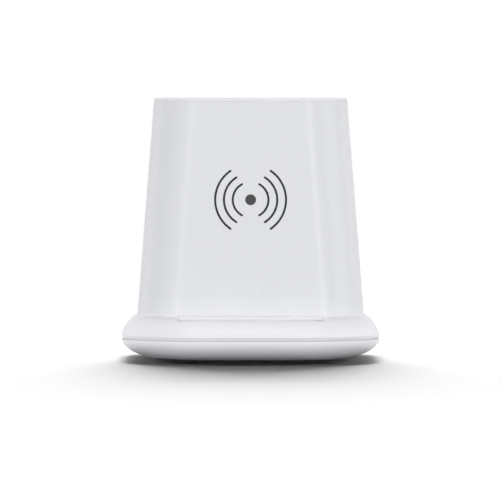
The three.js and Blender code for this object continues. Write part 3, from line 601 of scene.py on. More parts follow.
# PEN CUP
# A deep cup of the same ABS that hangs inside the tower. Its rim lies over the tower's wall with a
# hairline seam below it, and its outer and inner edges are rounded. Four bosses carry it.
RIM_ROUND = 0.8
CUP_UNDERSIDE_Z = 20.4
CUP_FLOOR_Z = 22.4
CUP_FLOOR_ROUND = 2.0
CUP_OUTSIDE = (3.0, 9.0)
CUP_INSIDE = (4.8, 10.8)
CUP_BOSS_RADIUS = 3.5
CUP_BORE = (21.4, 1.45)
wall_in, front_in = CUP_INSIDE
rim_outer = [tower_ring(RIM_Z - down, inward) for down, inward in edge_round(RIM_ROUND, 8)]
rim_inner = [
    tower_ring(RIM_Z - down, wall_in - out, front_in - out)
    for down, out in reversed(edge_round(RIM_ROUND, 8))
]
cup_floor = [
    tower_ring(CUP_FLOOR_Z + up, wall_in + inward, front_in + inward)
    for up, inward in edge_round(CUP_FLOOR_ROUND, 8)
]
pen_cup = solid(
    "cup",
    [
        tower_ring(CUP_UNDERSIDE_Z, *CUP_OUTSIDE),
        tower_ring(SHELL_TOP_Z, *CUP_OUTSIDE),
        tower_ring(SHELL_TOP_Z, SEAM_EASE),
        tower_ring(SHELL_TOP_Z + SEAM_EASE, 0),
    ]
    + rim_outer
    + rim_inner
    + cup_floor,
)
cup_bosses = [
    solid("cup_boss", post(x, y, SEAT_Z, CUP_UNDERSIDE_Z + 1, CUP_BOSS_RADIUS))
    for x, y in CUP_SCREW_PLACES
]
carved(pen_cup, "UNION", cup_bosses)
cup_bores = [
    solid("cup_bore", post(x, y, SEAT_Z - CUT_PAST, *CUP_BORE)) for x, y in CUP_SCREW_PLACES
]
carved(pen_cup, "DIFFERENCE", cup_bores)
hand_over(smoothed(painted(pen_cup, shell_abs_painted_shade)), "white_gloss_shell", "pen_cup")

# CHARGING SYMBOL
# A dot with three waves to each side, the common sign for charging without a cable. It is
# pad-printed on the front wall in dark grey ink, a thin film with round ends to its strokes.
DOT_RADIUS = 2.2
STROKE = 0.88
INK_THICKNESS = 0.03
INK_SUNK = 0.01
# Radius of each wave, and the half angle that it spans in degrees
WAVES = {"inner": (7.15, 61), "middle": (10.67, 57.5), "outer": (14.19, 55.3)}
# Points closer than this are one
SAME_POINT = 0.001 * MM


def printed_ink(name, thick, thin):
    """Pad-printed two-part ink: flat and matt, and a little thinner here and there, where the
    white below shows through as a lighter grey."""
    made, tree, shader, place = new_material(name, {"IOR": 1.45, "Roughness": 0.6})
    # Patches of about 1.5 mm, larger than the real ones so that they show at all
    patches = add_node(tree, "ShaderNodeTexNoise", {"Vector": place, "Scale": 650, "Detail": 3})
    lay_pattern(shader, patches, colours=(thick, thin), relief=(0.2, 0.01))
    return made


# A straight bar with round ends, bent round the symbol's middle and then given its thickness
tree, given = new_tree("printed_wave", ["Radius", "Reach", "Middle", "Stroke", "Thickness"])
arc = add_node(tree, MATH, (given["Radius"], given["Reach"]), operation="MULTIPLY")
length = add_node(tree, MATH, (arc, 2, given["Stroke"]), operation="MULTIPLY_ADD")
bar = add_node(
    tree, "GeometryNodeCurvePrimitiveQuadrilateral", {"Width": length, "Height": given["Stroke"]}
)
end_radius = add_node(tree, MATH, (given["Stroke"], 0.4999), operation="MULTIPLY")
ends = {"Curve": bar, "Radius": end_radius, "Count": 8}
bar_ends = add_node(tree, "GeometryNodeFilletCurve", ends, mode="POLY")
fine_steps = {"Curve": bar_ends, "Length": 0.1 * MM}
fine_bar = add_node(tree, "GeometryNodeResampleCurve", fine_steps, mode="LENGTH")
place = add_node(tree, "GeometryNodeInputPosition")
along, outward, _ = add_node(tree, "ShaderNodeSeparateXYZ", (place,)).outputs
turn = add_node(tree, MATH, (along, given["Radius"]), operation="DIVIDE")
turn = add_node(tree, MATH, (turn, given["Middle"]), operation="ADD")
reach = add_node(tree, MATH, (given["Radius"], outward), operation="ADD")
bent = []
for rule in ("COSINE", "SINE"):
    share = add_node(tree, MATH, (turn,), operation=rule)
    bent.append(add_node(tree, MATH, (reach, share), operation="MULTIPLY"))
bent_place = add_node(tree, "ShaderNodeCombineXYZ", tuple(bent))
wave = add_node(tree, "GeometryNodeSetPosition", {"Geometry": fine_bar, "Position": bent_place})
film = add_node(tree, "GeometryNodeFillCurve", {"Curve": wave}, mode="NGONS")
raising = {"Mesh": film, "Offset Scale": given["Thickness"], "Individual": False}
raised = add_node(tree, "GeometryNodeExtrudeMesh", raising)
under = add_node(tree, "GeometryNodeFlipFaces", {"Mesh": film})
both = add_node(tree, "GeometryNodeJoinGeometry", {"Geometry": [raised, under]})
closed = add_node(tree, "GeometryNodeMergeByDistance", {"Geometry": both, "Distance": SAME_POINT})
end_tree(tree, given, closed)

wave_ink = printed_ink("dark_print_ink", "1A1C1F", "232528")
for side, middle in (("left", math.pi), ("right", 0)):
    for name, (radius, half_angle) in WAVES.items():
        sizes = {
            "Radius": radius * MM,
            "Reach": math.radians(half_angle),
            "Middle": middle,
            "Stroke": STROKE * MM,
            "Thickness": INK_THICKNESS * MM,
        }
        start = bpy.data.meshes.new("wave")
        printed = grown(make_object(f"wave_{side}_{name}", start), tree, wave_ink, sizes)
        on_wall(printed, INK_SUNK)
        hand_over(smoothed(printed), "dark_ink", f"symbol_wave_{side}_{name}")
dot_levels = [(0, 0), (INK_THICKNESS - 0.01, 0), (INK_THICKNESS, 0.01)]
printed_dot = solid(
    "printed_dot", [post(0, 0, z, z, DOT_RADIUS - inset, 64)[0] for z, inset in dot_levels]
)
painted(printed_dot, printed_ink("grey_print_ink", "3A3C3C", "444646"))
hand_over(smoothed(on_wall(printed_dot, INK_SUNK)), "dark_ink", "symbol_dot")

# FEET
# Four round feet of dark rubber, glued into wells of the lower cover over its screws. Each is
# moulded with an eased lower edge and two shallow grip rings.
FOOT_RADIUS = 5
FOOT_THICKNESS = 2.1
FOOT_EDGE = 0.5


def turned_on_places(tree, given, steps):
    """Turns the section that a mesh's edges draw round Z, with x out from a circle of the input
    Radius and y down. It gives the turned body and the places that the mesh's loose points mark."""
    joined_to = add_node(tree, "GeometryNodeInputMeshVertexNeighbors")
    is_loose = add_node(tree, MATH, (joined_to, 0.5), operation="LESS_THAN")
    parting = {"Geometry": given["Geometry"], "Selection": is_loose}
    places, edges = add_node(tree, "GeometryNodeSeparateGeometry", parting).outputs
    circle = add_node(
        tree, "GeometryNodeCurvePrimitiveCircle", {"Resolution": steps, "Radius": given["Radius"]}
    )
    upright = add_node(tree, "GeometryNodeSetCurveNormal", {"Curve": circle}, mode="Z_UP")
    section = add_node(tree, "GeometryNodeMeshToCurve", {"Mesh": edges})
    swept = add_node(tree, "GeometryNodeCurveToMesh", {"Curve": upright, "Profile Curve": section})
    closed = add_node(
        tree, "GeometryNodeMergeByDistance", {"Geometry": swept, "Distance": SAME_POINT}
    )
    return closed, places


def section_and_places(name, section, radius, places):
    """A mesh of a section's edges and of loose points at the places that it is repeated on."""
    points = [((r - radius) * MM, -z * MM, 0) for r, z in section]
    edges = [(i, i + 1) for i in range(len(points) - 1)]
    mesh = bpy.data.meshes.new(name)
    mesh.from_pydata(points + [Vector(place) * MM for place in places], edges, [])
    return make_object(name, mesh)


def grained(name, light, dark, grain, roughness, depth, metallic=0.0, ior=1.5):
    """A surface with an even grain in its colour, dullness and relief: its grain and depth are in
    millimetres. A metal keeps the shader's own IOR."""
    made, tree, shader, place = new_material(name, {"IOR": ior, "Metallic": metallic})
    noise = add_node(
        tree, "ShaderNodeTexNoise", {"Vector": place, "Scale": 1 / (grain * MM), "Detail": 4}
    )
    dull = (roughness - 0.07, roughness + 0.07)
    lay_pattern(shader, noise, colours=(light, dark), roughness=dull, relief=(0.4, depth))
    return made


foot_section = [(0, 0), (1.6, 0), (1.7, 0.2), (2.1, 0.2), (2.2, 0), (3.1, 0), (3.2, 0.2), (3.6, 0.2)]
foot_section += [(3.7, 0), (FOOT_RADIUS - FOOT_EDGE, 0)]
foot_section += [(FOOT_RADIUS - inward, up) for inward, up in edge_round(FOOT_EDGE, 5)[1:]]
foot_section += [(FOOT_RADIUS, FOOT_THICKNESS), (0, FOOT_THICKNESS)]
tree, given = new_tree("turned_feet", ["Radius"])
foot, places = turned_on_places(tree, given, 48)
end_tree(
    tree, given, add_node(tree, "GeometryNodeInstanceOnPoints", {"Points": places, "Instance": foot})
)
# Nitrile rubber, moulded: deep grey and dull, with the fine bloom of worn rubber
foot_rubber = grained("dark_rubber", "3A3B3E", "2F3033", 0.6, 0.82, 0.03, ior=1.52)
feet = section_and_places("feet", foot_section, FOOT_RADIUS, [(x, y, 0) for x, y in FOOT_PLACES])
feet = grown(feet, tree, foot_rubber, {"Radius": FOOT_RADIUS * MM})
hand_over(
    smoothed(feet),
    "grey_rubber",
    "rubber_foot_front_left",
    "rubber_foot_front_right",
    "rubber_foot_rear_left",
    "rubber_foot_rear_right",
)

# SCREWS
# Pan-head screws for plastic, rolled from zinc-plated steel, with a cross recess and a coarse
# thread. Four each hold the covers, the cup, the board and the coil's tray.
BOARD_TOP_Z = 8.6
TRAY_BACK = 6.7
# The cross recess, as shares of the head's radius and height
CROSS_REACH = 1.0
CROSS_WIDTH = 0.26
CROSS_DEPTH = 0.55
# The thread, as shares of the shank's length and radius
THREAD_START = 0.08
THREAD_LENGTH = 0.78
THREAD_CREST = 0.84
THREAD_RIDGE = 0.16


def screw_section(head, height, shank, length, tip):
    """Half a screw's outline, from the crown of its head up to its point."""
    dome = [
        (head * (0.55 + 0.45 * math.sin(a)), -height + 0.45 * height * (1 - math.cos(a)))
        for a in quarter(5)
    ]
    core = shank * 0.8
    return (
        [(0, -height)]
        + dome
        + [(head, -0.06), (head - 0.06, 0), (core + 0.15, 0), (core, 0.15)]
        + [(core, length - tip), (core * 0.4, length), (0, length)]
    )


tree, given = new_tree("threaded_screws", ["Radius", "Height", "Shank", "Length", "Thread Pitch"])
body, places = turned_on_places(tree, given, 24)
reach = add_node(tree, MATH, (given["Radius"], CROSS_REACH), operation="MULTIPLY")
width = add_node(tree, MATH, (given["Radius"], CROSS_WIDTH), operation="MULTIPLY")
deep = add_node(tree, MATH, (given["Height"], 2 * CROSS_DEPTH), operation="MULTIPLY")
crown = add_node(tree, MATH, (given["Height"], -1), operation="MULTIPLY")
down = add_node(tree, "ShaderNodeCombineXYZ", {"Z": crown})
# The recess is cut a thousand times enlarged, where no edge is too short for the cut
enlarged = (1000,) * 3
body = add_node(tree, "GeometryNodeTransform", {"Geometry": body, "Scale": enlarged})
for long, wide, share in ((reach, width, 1.0), (width, reach, 0.97)):
    bar_depth = add_node(tree, MATH, (deep, share), operation="MULTIPLY")
    size = add_node(tree, "ShaderNodeCombineXYZ", (long, wide, bar_depth))
    cube = add_node(tree, "GeometryNodeMeshCube", {"Size": size})
    bar = add_node(tree, "GeometryNodeTransform", {"Geometry": cube, "Translation": down})
    bar = add_node(tree, "GeometryNodeTransform", {"Geometry": bar, "Scale": enlarged})
    cut = {"Mesh 1": body, "Mesh 2": bar}
    body = add_node(tree, "GeometryNodeMeshBoolean", cut, operation="DIFFERENCE")
body = add_node(tree, "GeometryNodeTransform", {"Geometry": body, "Scale": (0.001,) * 3})
threaded = add_node(tree, MATH, (given["Length"], THREAD_LENGTH), operation="MULTIPLY")
crest = add_node(tree, MATH, (given["Shank"], THREAD_CREST), operation="MULTIPLY")
turns = add_node(tree, MATH, (threaded, given["Thread Pitch"]), operation="DIVIDE")
winding = {"Resolution": 20, "Rotations": turns, "Height": threaded}
spiral = add_node(
    tree, "GeometryNodeCurveSpiral", {**winding, "Start Radius": crest, "End Radius": crest}
)
ridge_radius = add_node(tree, MATH, (given["Shank"], THREAD_RIDGE), operation="MULTIPLY")
ridge = add_node(
    tree, "GeometryNodeCurvePrimitiveCircle", {"Resolution": 3, "Radius": ridge_radius}
)
upright = add_node(tree, "GeometryNodeSetCurveNormal", {"Curve": spiral}, mode="Z_UP")
thread = add_node(
    tree, "GeometryNodeCurveToMesh", {"Curve": upright, "Profile Curve": ridge, "Fill Caps": True}
)
start = add_node(tree, MATH, (given["Length"], THREAD_START), operation="MULTIPLY")
start = add_node(tree, "ShaderNodeCombineXYZ", {"Z": start})
thread = add_node(tree, "GeometryNodeTransform", {"Geometry": thread, "Translation": start})
screw = add_node(tree, "GeometryNodeJoinGeometry", {"Geometry": [body, thread]})
end_tree(
    tree, given, add_node(tree, "GeometryNodeInstanceOnPoints", {"Points": places, "Instance": screw})
)
# Bright zinc on steel: a cool grey metal, its plating a little cloudy from spot to spot
zinc_plate = grained("zinc_plated_steel", "C4C8CE", "B2B6BC", 0.8, 0.34, 0.01, 1.0)


def screws(name, sizes, places, nodes_replaced, turn=None, pitch=0.9):
    """Four screws with their shanks up from the places, or turned over or into another frame. Their
    sizes are the head's radius and height, the shank's radius and length, and the tip's length."""
    head, height, shank, length, tip = sizes
    section = screw_section(head, height, shank, length, tip)
    group = section_and_places(name, section, head, places)
    tree_sizes = {
        "Radius": head * MM,
        "Height": height * MM,
        "Shank": shank * MM,
        "Length": length * MM,
        "Thread Pitch": pitch * MM,
    }
    grown(group, bpy.data.node_groups["threaded_screws"], zinc_plate, tree_sizes)
    if turn:
        group.data.transform(turn)
    hand_over(smoothed(group), "screw_steel", *nodes_replaced)


corners = ["front_left", "front_right", "rear_left", "rear_right"]
screws(
    "cover_screws",
    (2.8, 2, 1.25, 7.6, 1.2),
    [(x, y, 4.6) for x, y in FOOT_PLACES],
    [f"cover_screw_{corner}" for corner in corners],
)
screws(
    "cup_screws",
    (2.8, 1.9, 1.25, 6.8, 1.2),
    [(x, y, TUB_Z) for x, y in CUP_SCREW_PLACES],
    [f"cup_screw_{corner}" for corner in corners],
)
screws(
    "board_screws",
    (1.9, 1.3, 0.85, 4.6, 0.8),
    [(x, -y, -BOARD_TOP_Z) for x, y in BOARD_SCREW_PLACES],
    [f"board_screw_{corner}" for corner in corners],
    Matrix.Rotation(math.pi, 4, "X"),
    0.7,
)
screws(
    "tray_screws",
    (1.9, 1.1, 0.85, 4.4, 0.8),
    [(x, v, -TRAY_BACK) for x, v in TRAY_POSTS],
    [f"tray_screw_{corner}" for corner in ("lower_left", "lower_right", "upper_left", "upper_right")],
    wall_turn,
    0.7,
)

# CHARGING COIL AND TEMPERATURE SENSOR
# Eight flat turns of one wire, twisted from fine enamelled copper strands, behind the front wall.
# Its tails and the twin lead of the sensor in its middle run down through the tub to the plug.
WIRE_RADIUS = 0.5
COIL_DEPTH = 3
COIL_START_RADIUS = 10.5
COIL_START = math.radians(-30)
COIL_SWEEP = math.radians(8 * 360 - 60)
COIL_PITCH = 1.45
TAIL_DEPTH = 4.3
WIRE_SLOT_Y = -29.9
WIRE_Z = 10.9
WIRE_BEND = 3
PLUG_FRONT_Y = 4.72
COIL_TAIL_XS = (-0.6, 2.5)
LEAD_X = -2.7
LEAD_RADIUS = 0.15
BEAD_RADIUS = 0.9
BEAD_HALF = 0.5


def wall_point(x, v, depth):
    """A point behind the front wall's outer face."""
    return wall_turn @ (Vector((x, v, -depth)) * MM)


def smooth_route(points, steps):
    """A smooth line through points, which doesn't swing wide at its bends (centripetal spline)."""

    def between(first, second, start, end, at):
        return first.lerp(second, (at - start) / (end - start))

    around = [2 * points[0] - points[1], *points, 2 * points[-1] - points[-2]]
    route = []
    for a, b, c, d in zip(around, around[1:], around[2:], around[3:]):
        t1 = math.sqrt((b - a).length)
        t2 = t1 + math.sqrt((c - b).length)
        t3 = t2 + math.sqrt((d - c).length)
        for i in range(steps):
            at = t1 + (t2 - t1) * i / steps
            ab, bc, cd = between(a, b, 0, t1, at), between(b, c, t1, t2, at), between(c, d, t2, t3, at)
            route.append(between(between(ab, bc, 0, t2, at), between(bc, cd, t1, t3, at), t1, t2, at))
    return route + [points[-1]]


def tail_points(x):
    """The common way of the wires: down past the tower's foot, round a bend and into the plug."""
    down = [wall_point(x, -32, TAIL_DEPTH), wall_point(x, -38, TAIL_DEPTH)]
    bend = [
        Vector((x, WIRE_SLOT_Y + WIRE_BEND * (1 - math.cos(a)), WIRE_Z + WIRE_BEND * (1 - math.sin(a))))
        * MM
        for a in quarter(3)
    ]
    run = [Vector((x, y, WIRE_Z)) * MM for y in (PLUG_FRONT_Y - 5.4, PLUG_FRONT_Y + 0.6)]
    return down + [Vector((x, WIRE_SLOT_Y, CUP_UNDERSIDE_Z)) * MM] + bend + run


def rising_points(shares):
    """Points where a wire rises from the ferrite's slot to the coil's depth."""
    return [
        wall_point(
            x * COIL_START_RADIUS, v * COIL_START_RADIUS, TAIL_DEPTH + rise * (COIL_DEPTH - TAIL_DEPTH)
        )
        for x, v, rise in shares
    ]


def route_object(name, points):
    """A line of edges through points."""
    mesh = bpy.data.meshes.new(name)
    mesh.from_pydata(points, [(i, i + 1) for i in range(len(points) - 1)], [])
    return make_object(name, mesh)


tree, given = new_tree("wound_wire", ["Radius"])
route = add_node(tree, "GeometryNodeMeshToCurve", {"Mesh": given["Geometry"]})
along = add_node(tree, "GeometryNodeSplineParameter").outputs
kept_length = add_node(tree, "GeometryNodeCaptureAttribute", {"Geometry": route})
kept_length.capture_items.new("FLOAT", "Length")
feed(kept_length, {"Length": along["Length"]})
circle = add_node(
    tree, "GeometryNodeCurvePrimitiveCircle", {"Resolution": 12, "Radius": given["Radius"]}
)
kept_turn = add_node(tree, "GeometryNodeCaptureAttribute", {"Geometry": circle})
kept_turn.capture_items.new("FLOAT", "Turn")
feed(kept_turn, {"Turn": along["Factor"]})
sweeping = {"Curve": kept_length, "Profile Curve": kept_turn, "Fill Caps": True}
tube = add_node(tree, "GeometryNodeCurveToMesh", sweeping)
angle = add_node(tree, MATH, (kept_turn.outputs["Turn"], 2 * math.pi), operation="MULTIPLY")
out_x = add_node(tree, MATH, (angle,), operation="COSINE")
out_y = add_node(tree, MATH, (angle,), operation="SINE")
twist = add_node(tree, "ShaderNodeCombineXYZ", (out_x, out_y, kept_length.outputs["Length"]))
marking = {"Geometry": tube, "Name": "wire_twist", "Value": twist}
marked = add_node(tree, "GeometryNodeStoreNamedAttribute", marking, data_type="FLOAT_VECTOR")
end_tree(tree, given, marked)


def twisted_strands(name, light, groove_shade, strands, lay, roughness, metallic):
    """Strands twisted together: the attribute wire_twist gives the place round and along the
    wire, and each strand shows as a slanting ridge with a dark line beside it: painted shade in the
    groove between strands."""
    made, tree, shader, _ = new_material(name, {"Metallic": metallic, "Roughness": roughness})
    mark = add_node(tree, "ShaderNodeAttribute", attribute_name="wire_twist").outputs["Vector"]
    out_x, out_y, along = add_node(tree, "ShaderNodeSeparateXYZ", (mark,)).outputs
    turn = add_node(tree, MATH, (out_y, out_x), operation="ARCTAN2")
    slant = 2 * math.pi / (lay * MM)
    turned = add_node(tree, MATH, (along, slant, turn), operation="MULTIPLY_ADD")
    strand = add_node(tree, MATH, (turned, strands), operation="MULTIPLY")
    ridge = add_node(tree, MATH, (strand,), operation="SINE")
    span = {"Value": ridge, "From Min": -1.0, "From Max": 0.2}
    share = add_node(tree, "ShaderNodeMapRange", span)
    lay_pattern(shader, share, colours=(groove_shade, light))
    lay_pattern(shader, ridge, relief=(0.6, 0.04))
    return made


turn_steps = round(math.degrees(COIL_SWEEP) / 6)
spiral_points = []
for i in range(turn_steps + 1):
    swept_angle = COIL_SWEEP * i / turn_steps
    radius = COIL_START_RADIUS + COIL_PITCH * swept_angle / (2 * math.pi)
    angle = COIL_START + swept_angle
    spiral_points.append(wall_point(radius * math.cos(angle), radius * math.sin(angle), COIL_DEPTH))
inner_rise = [(-0.057, -1.2, 0), (-0.051, -0.88, 0), (0.06, -0.68, 0.5), (0.36, -0.6, 1)]
inner_rise.append((0.66, -0.62, 1))
inner_x, outer_x = COIL_TAIL_XS
inner_tail = tail_points(inner_x)[::-1] + rising_points(inner_rise) + [spiral_points[0]]
outer_turn = [wall_point(1.9, -22.46, COIL_DEPTH), wall_point(outer_x, -24.36, COIL_DEPTH)]
outer_tail = [spiral_points[-1]] + outer_turn + tail_points(outer_x)
coil_route = smooth_route(inner_tail, 8)[:-1] + spiral_points + smooth_route(outer_tail, 8)[1:]
# Litz wire: strands of enamelled copper, reddish and glossy, with a lay of 14 mm; the dark brown between
# strands is painted shade
litz = twisted_strands("enamelled_copper_strands", "C4713F", "6E3418", 7, 14, 0.33, 1.0)
coil = grown(route_object("coil", coil_route), tree, litz, {"Radius": WIRE_RADIUS * MM})
hand_over(smoothed(coil, 60), "copper_wire", "charging_coil")

sensor_rise = [(-0.257, -1, 0), (-0.257, -0.6, 0), (-0.13, -0.3, 1), (0, -0.03, 1)]
lead_route = smooth_route(tail_points(LEAD_X)[::-1] + rising_points(sensor_rise), 8)
# Black insulation over a thin lead, twisted loosely; the darker black between the twists is painted
# shade
lead_skin = twisted_strands("black_lead_insulation", "2A2B2E", "151618", 2, 9, 0.5, 0.0)
parts = []
for side in (-1, 1):
    offset = Vector((side * LEAD_RADIUS * MM, 0, 0))
    lead = route_object("sensor_lead", [point + offset for point in lead_route])
    parts.append(grown(lead, tree, lead_skin, {"Radius": LEAD_RADIUS * MM}))
bead_rings = []
for i in range(1, 12):
    across = math.pi * i / 12
    level = -COIL_DEPTH - BEAD_HALF * math.cos(across)
    bead_rings.append(post(0, 0, level, level, BEAD_RADIUS * math.sin(across), 24)[0])
bead = on_wall(solid("sensor_bead", bead_rings))
# A drop of black epoxy, glossy and a little uneven
painted(bead, grained("black_epoxy_drop", "1E1F21", "17181A", 0.9, 0.3, 0.02, ior=1.55))


def joined(pieces, angle=35):
    """Smooths several pieces and makes one object of them, in which they keep their materials."""
    pieces = [smoothed(piece, angle) for piece in pieces]
    with bpy.context.temp_override(active_object=pieces[0], selected_editable_objects=pieces):
        bpy.ops.object.join()
    return pieces[0]


sensor = joined(parts + [bead], 60)
sensor.name = "temperature_sensor_bead"
hand_over(sensor, "black_plastic", "temperature_sensor")

# FERRITE SHEET AND COIL TRAY
# A sintered ferrite sheet behind the coil turns its field towards the phone. A moulded black tray
# carries both on four posts of the tower, and a slot in the sheet lets the wires out.
FERRITE_SIDE = 50
FERRITE_FRONT = 3.8
FERRITE_BACK = 4.8
FERRITE_CORNER = 2
SLOT_HALF_WIDTH = 3.5
SLOT_CORNER = 0.6
SLOT_TOP = COIL_START_RADIUS * -0.33
TRAY_HALF_WIDTH = 28
TRAY_HALF_HEIGHT = 35
TRAY_CORNER = 4
TRAY_RIM_HALF = 26.5
TRAY_RIM_DEPTH = 4.1
TRAY_POCKET_HALF = 25.3
TRAY_HOLE_RADIUS = 1.2
TRAY_RECESS_DEPTH = 5.9


def sheet_ring(half_width, half_height, radius, depth, steps=6):
    """A rectangle with round corners behind the front wall, drawn flat."""
    return rounded_ring(half_width, -half_height, half_height, radius, -depth, steps)


def eased(piece, width, angle=40):
    """Rounds the piece's sharp edges off a little."""
    step = piece.modifiers.new("eased_edges", "BEVEL")
    step.width = width * MM
    step.segments = 2
    step.limit_method = "ANGLE"
    step.angle_limit = math.radians(angle)
    return frozen(piece)


half = FERRITE_SIDE / 2
sheet = [sheet_ring(half, half, FERRITE_CORNER, d) for d in (FERRITE_BACK, FERRITE_FRONT)]
ferrite = solid("ferrite", sheet)
slot = [
    rounded_ring(SLOT_HALF_WIDTH, -half - 2, SLOT_TOP, SLOT_CORNER, -d, 4)
    for d in (FERRITE_BACK + CUT_PAST, FERRITE_FRONT - CUT_PAST)
]
eased(carved(ferrite, "DIFFERENCE", [solid("sheet_slot", slot)]), 0.12)


def sintered_ferrite(name, tile):
    """Pressed and fired manganese-zinc ferrite: dark and dull with fine pores, and scored into
    small tiles so that the sheet bends a little instead of breaking."""
    made, tree, shader, place = new_material(name, {"IOR": 2.1, "Roughness": 0.72})
    tiles = {"Vector": place, "Scale": 1 / (tile * MM), "Randomness": 0.6}
    edges = add_node(tree, "ShaderNodeTexVoronoi", tiles, feature="DISTANCE_TO_EDGE")
    pores = add_node(tree, "ShaderNodeTexNoise", {"Vector": place, "Scale": 2500, "Detail": 4})
    line = add_node(tree, "ShaderNodeMapRange", {"Value": edges, "From Max": 0.05})
    level = add_node(tree, MATH, (pores, 0.3, line), operation="MULTIPLY_ADD")
    lay_pattern(shader, line, colours=("2A2A2B", "4A4A4C"))
    lay_pattern(shader, level, relief=(0.5, 0.06))
    return made


painted(ferrite, sintered_ferrite("sintered_ferrite", 4))
hand_over(smoothed(on_wall(ferrite)), "ferrite", "ferrite_sheet")

half = (TRAY_HALF_WIDTH, TRAY_HALF_HEIGHT)
tray = solid("tray", [sheet_ring(*half, TRAY_CORNER, d) for d in (TRAY_BACK, TRAY_FRONT)])
half = (TRAY_RIM_HALF, TRAY_RIM_HALF)
rim = [sheet_ring(*half, 3.2, d) for d in (TRAY_FRONT + 0.3, TRAY_RIM_DEPTH)]
carved(tray, "UNION", [solid("tray_rim", rim)])
half = (TRAY_POCKET_HALF, TRAY_POCKET_HALF)
cuts = [solid("tray_pocket", [sheet_ring(*half, 2, d) for d in (TRAY_FRONT, 3)])]
slot = [rounded_ring(SLOT_HALF_WIDTH, -30, -20, SLOT_CORNER, -d, 4) for d in (TRAY_FRONT, 3)]
cuts.append(solid("tray_slot", slot))
cuts += [solid("tray_hole", post(x, v, -8, -4, TRAY_HOLE_RADIUS)) for x, v in TRAY_POSTS]
for x in (-16.5, -5.5, 5.5, 16.5):
    window = [
        [(x + px, py, pz) for px, py, pz in sheet_ring(4, 19, 1.2, d)]
        for d in (TRAY_BACK + CUT_PAST, TRAY_RECESS_DEPTH)
    ]
    cuts.append(solid("tray_recess", window))
eased(carved(tray, "DIFFERENCE", cuts), 0.15)
# Glass-filled nylon from an eroded tool: black and dull, with a coarse even grain
painted(tray, grained("black_filled_nylon", "26272A", "1D1E20", 0.5, 0.6, 0.05, ior=1.53))
hand_over(smoothed(on_wall(tray)), "black_plastic", "coil_tray")

# CIRCUIT BOARD
# Glass-fibre board with a green solder mask. It stands on four bosses of the lower cover, is
# notched round two pillars of the upper one, and has a tinned pad round each screw.
BOARD_FRONT = 9.82
BOARD_REAR = 47.82
BOARD_HALF_WIDTH = 28
BOARD_CORNER = 6
BOARD_HOLE_RADIUS = 1.2
PILLAR_X = PILLAR_Y = 26
NOTCH_RADIUS = 4.2
board_outline = (BOARD_HALF_WIDTH, BOARD_FRONT, BOARD_REAR, BOARD_CORNER)
board = solid("board", [rounded_ring(*board_outline, z, 8) for z in (BOARD_Z, BOARD_TOP_Z)])
through = (BOARD_Z - CUT_PAST, BOARD_TOP_Z + CUT_PAST)
cuts = []
for side in (-1, 1):
    cuts.append(solid("notch", post(side * PILLAR_X, PILLAR_Y, *through, NOTCH_RADIUS, 48)))
    mouth = rounded_ring(6, PILLAR_Y - NOTCH_RADIUS, PILLAR_Y + NOTCH_RADIUS, 0.01, 0, 1)
    rings = [[(x + side * (PILLAR_X + 6), y, z) for x, y, _ in mouth] for z in through]
    cuts.append(solid("notch_mouth", rings))
for x, y in BOARD_SCREW_PLACES:
    cuts.append(solid("board_hole", post(x, y, *through, BOARD_HOLE_RADIUS)))
eased(carved(board, "DIFFERENCE", cuts), 0.06)


def solder_mask(name):
    """Green solder mask over copper: glossy, with the tracks below it showing as slightly raised,
    lighter bands. The tracks are about 1 mm apart, coarser than the real ones."""
    made, tree, shader, place = new_material(name, {"IOR": 1.55, "Roughness": 0.32})
    rows = {"Scale": 1000.0, "Mortar Size": 0.16, "Brick Width": 7.0, "Row Height": 1.1}
    steps = {"offset": 0.35, "squash": 0.6, "squash_frequency": 3}
    tracks = add_node(tree, "ShaderNodeTexBrick", {"Vector": place, **rows}, **steps)
    weave = add_node(tree, "ShaderNodeTexNoise", {"Vector": place, "Scale": 900, "Detail": 3})
    track = tracks.outputs["Fac"]
    level = add_node(tree, MATH, (weave, 0.2, track), operation="MULTIPLY_ADD")
    lay_pattern(shader, track, colours=("2A7048", "1B5636"))
    lay_pattern(shader, level, relief=(0.4, -0.03))
    return made


painted(board, solder_mask("green_solder_mask"))
PAD_RADIUS = 2
pad_rings = [(1.25, 0), (2.1, 0), (2.1, 0.035), (1.25, 0.035), (1.25, 0)]
pad_places = [(x, y, BOARD_TOP_Z) for x, y in BOARD_SCREW_PLACES]
pads = section_and_places("pads", pad_rings, PAD_RADIUS, pad_places)
# Hot-dipped tin: bright, with the soft swells of solder that has set
tin = grained("tinned_copper", "CDCECF", "BBBDBF", 0.7, 0.28, 0.02, 1.0)
grown(pads, bpy.data.node_groups["turned_feet"], tin, {"Radius": PAD_RADIUS * MM})
hand_over(joined([board, pads]), "green_board", "circuit_board")

# POWER SOCKET
# A reversible charging socket in the rear: a flat-oval shell drawn from stainless steel, closed at
# its back, round a black tongue that carries twelve gold-plated contacts on either side.
SOCKET_MOUTH = 50.4
SOCKET_BACK = 43.05
SOCKET_HALF = 4.47
SOCKET_RADIUS = 1.63
SOCKET_SHELL = 0.3
LIP_ROUND = 0.15


def socket_ring(y, inset):
    """The socket's outline at one depth, drawn in by an inset."""
    return oval_ring(SOCKET_HALF - inset, SOCKET_RADIUS - inset, SOCKET_Z, y)


lip = [
    socket_ring(SOCKET_MOUTH - LIP_ROUND * (1 - math.sin(a)), LIP_ROUND * (1 + math.cos(a)))
    for a in quarter(3)
] + [
    socket_ring(SOCKET_MOUTH - LIP_ROUND * (1 - math.cos(a)), LIP_ROUND * (1 - math.sin(a)))
    for a in quarter(3)[1:]
]
socket = solid(
    "power_socket",
    [socket_ring(SOCKET_BACK + SOCKET_SHELL, SOCKET_SHELL)]
    + lip
    + [socket_ring(SOCKET_BACK + 0.2, 0), socket_ring(SOCKET_BACK, 0.2)],
)


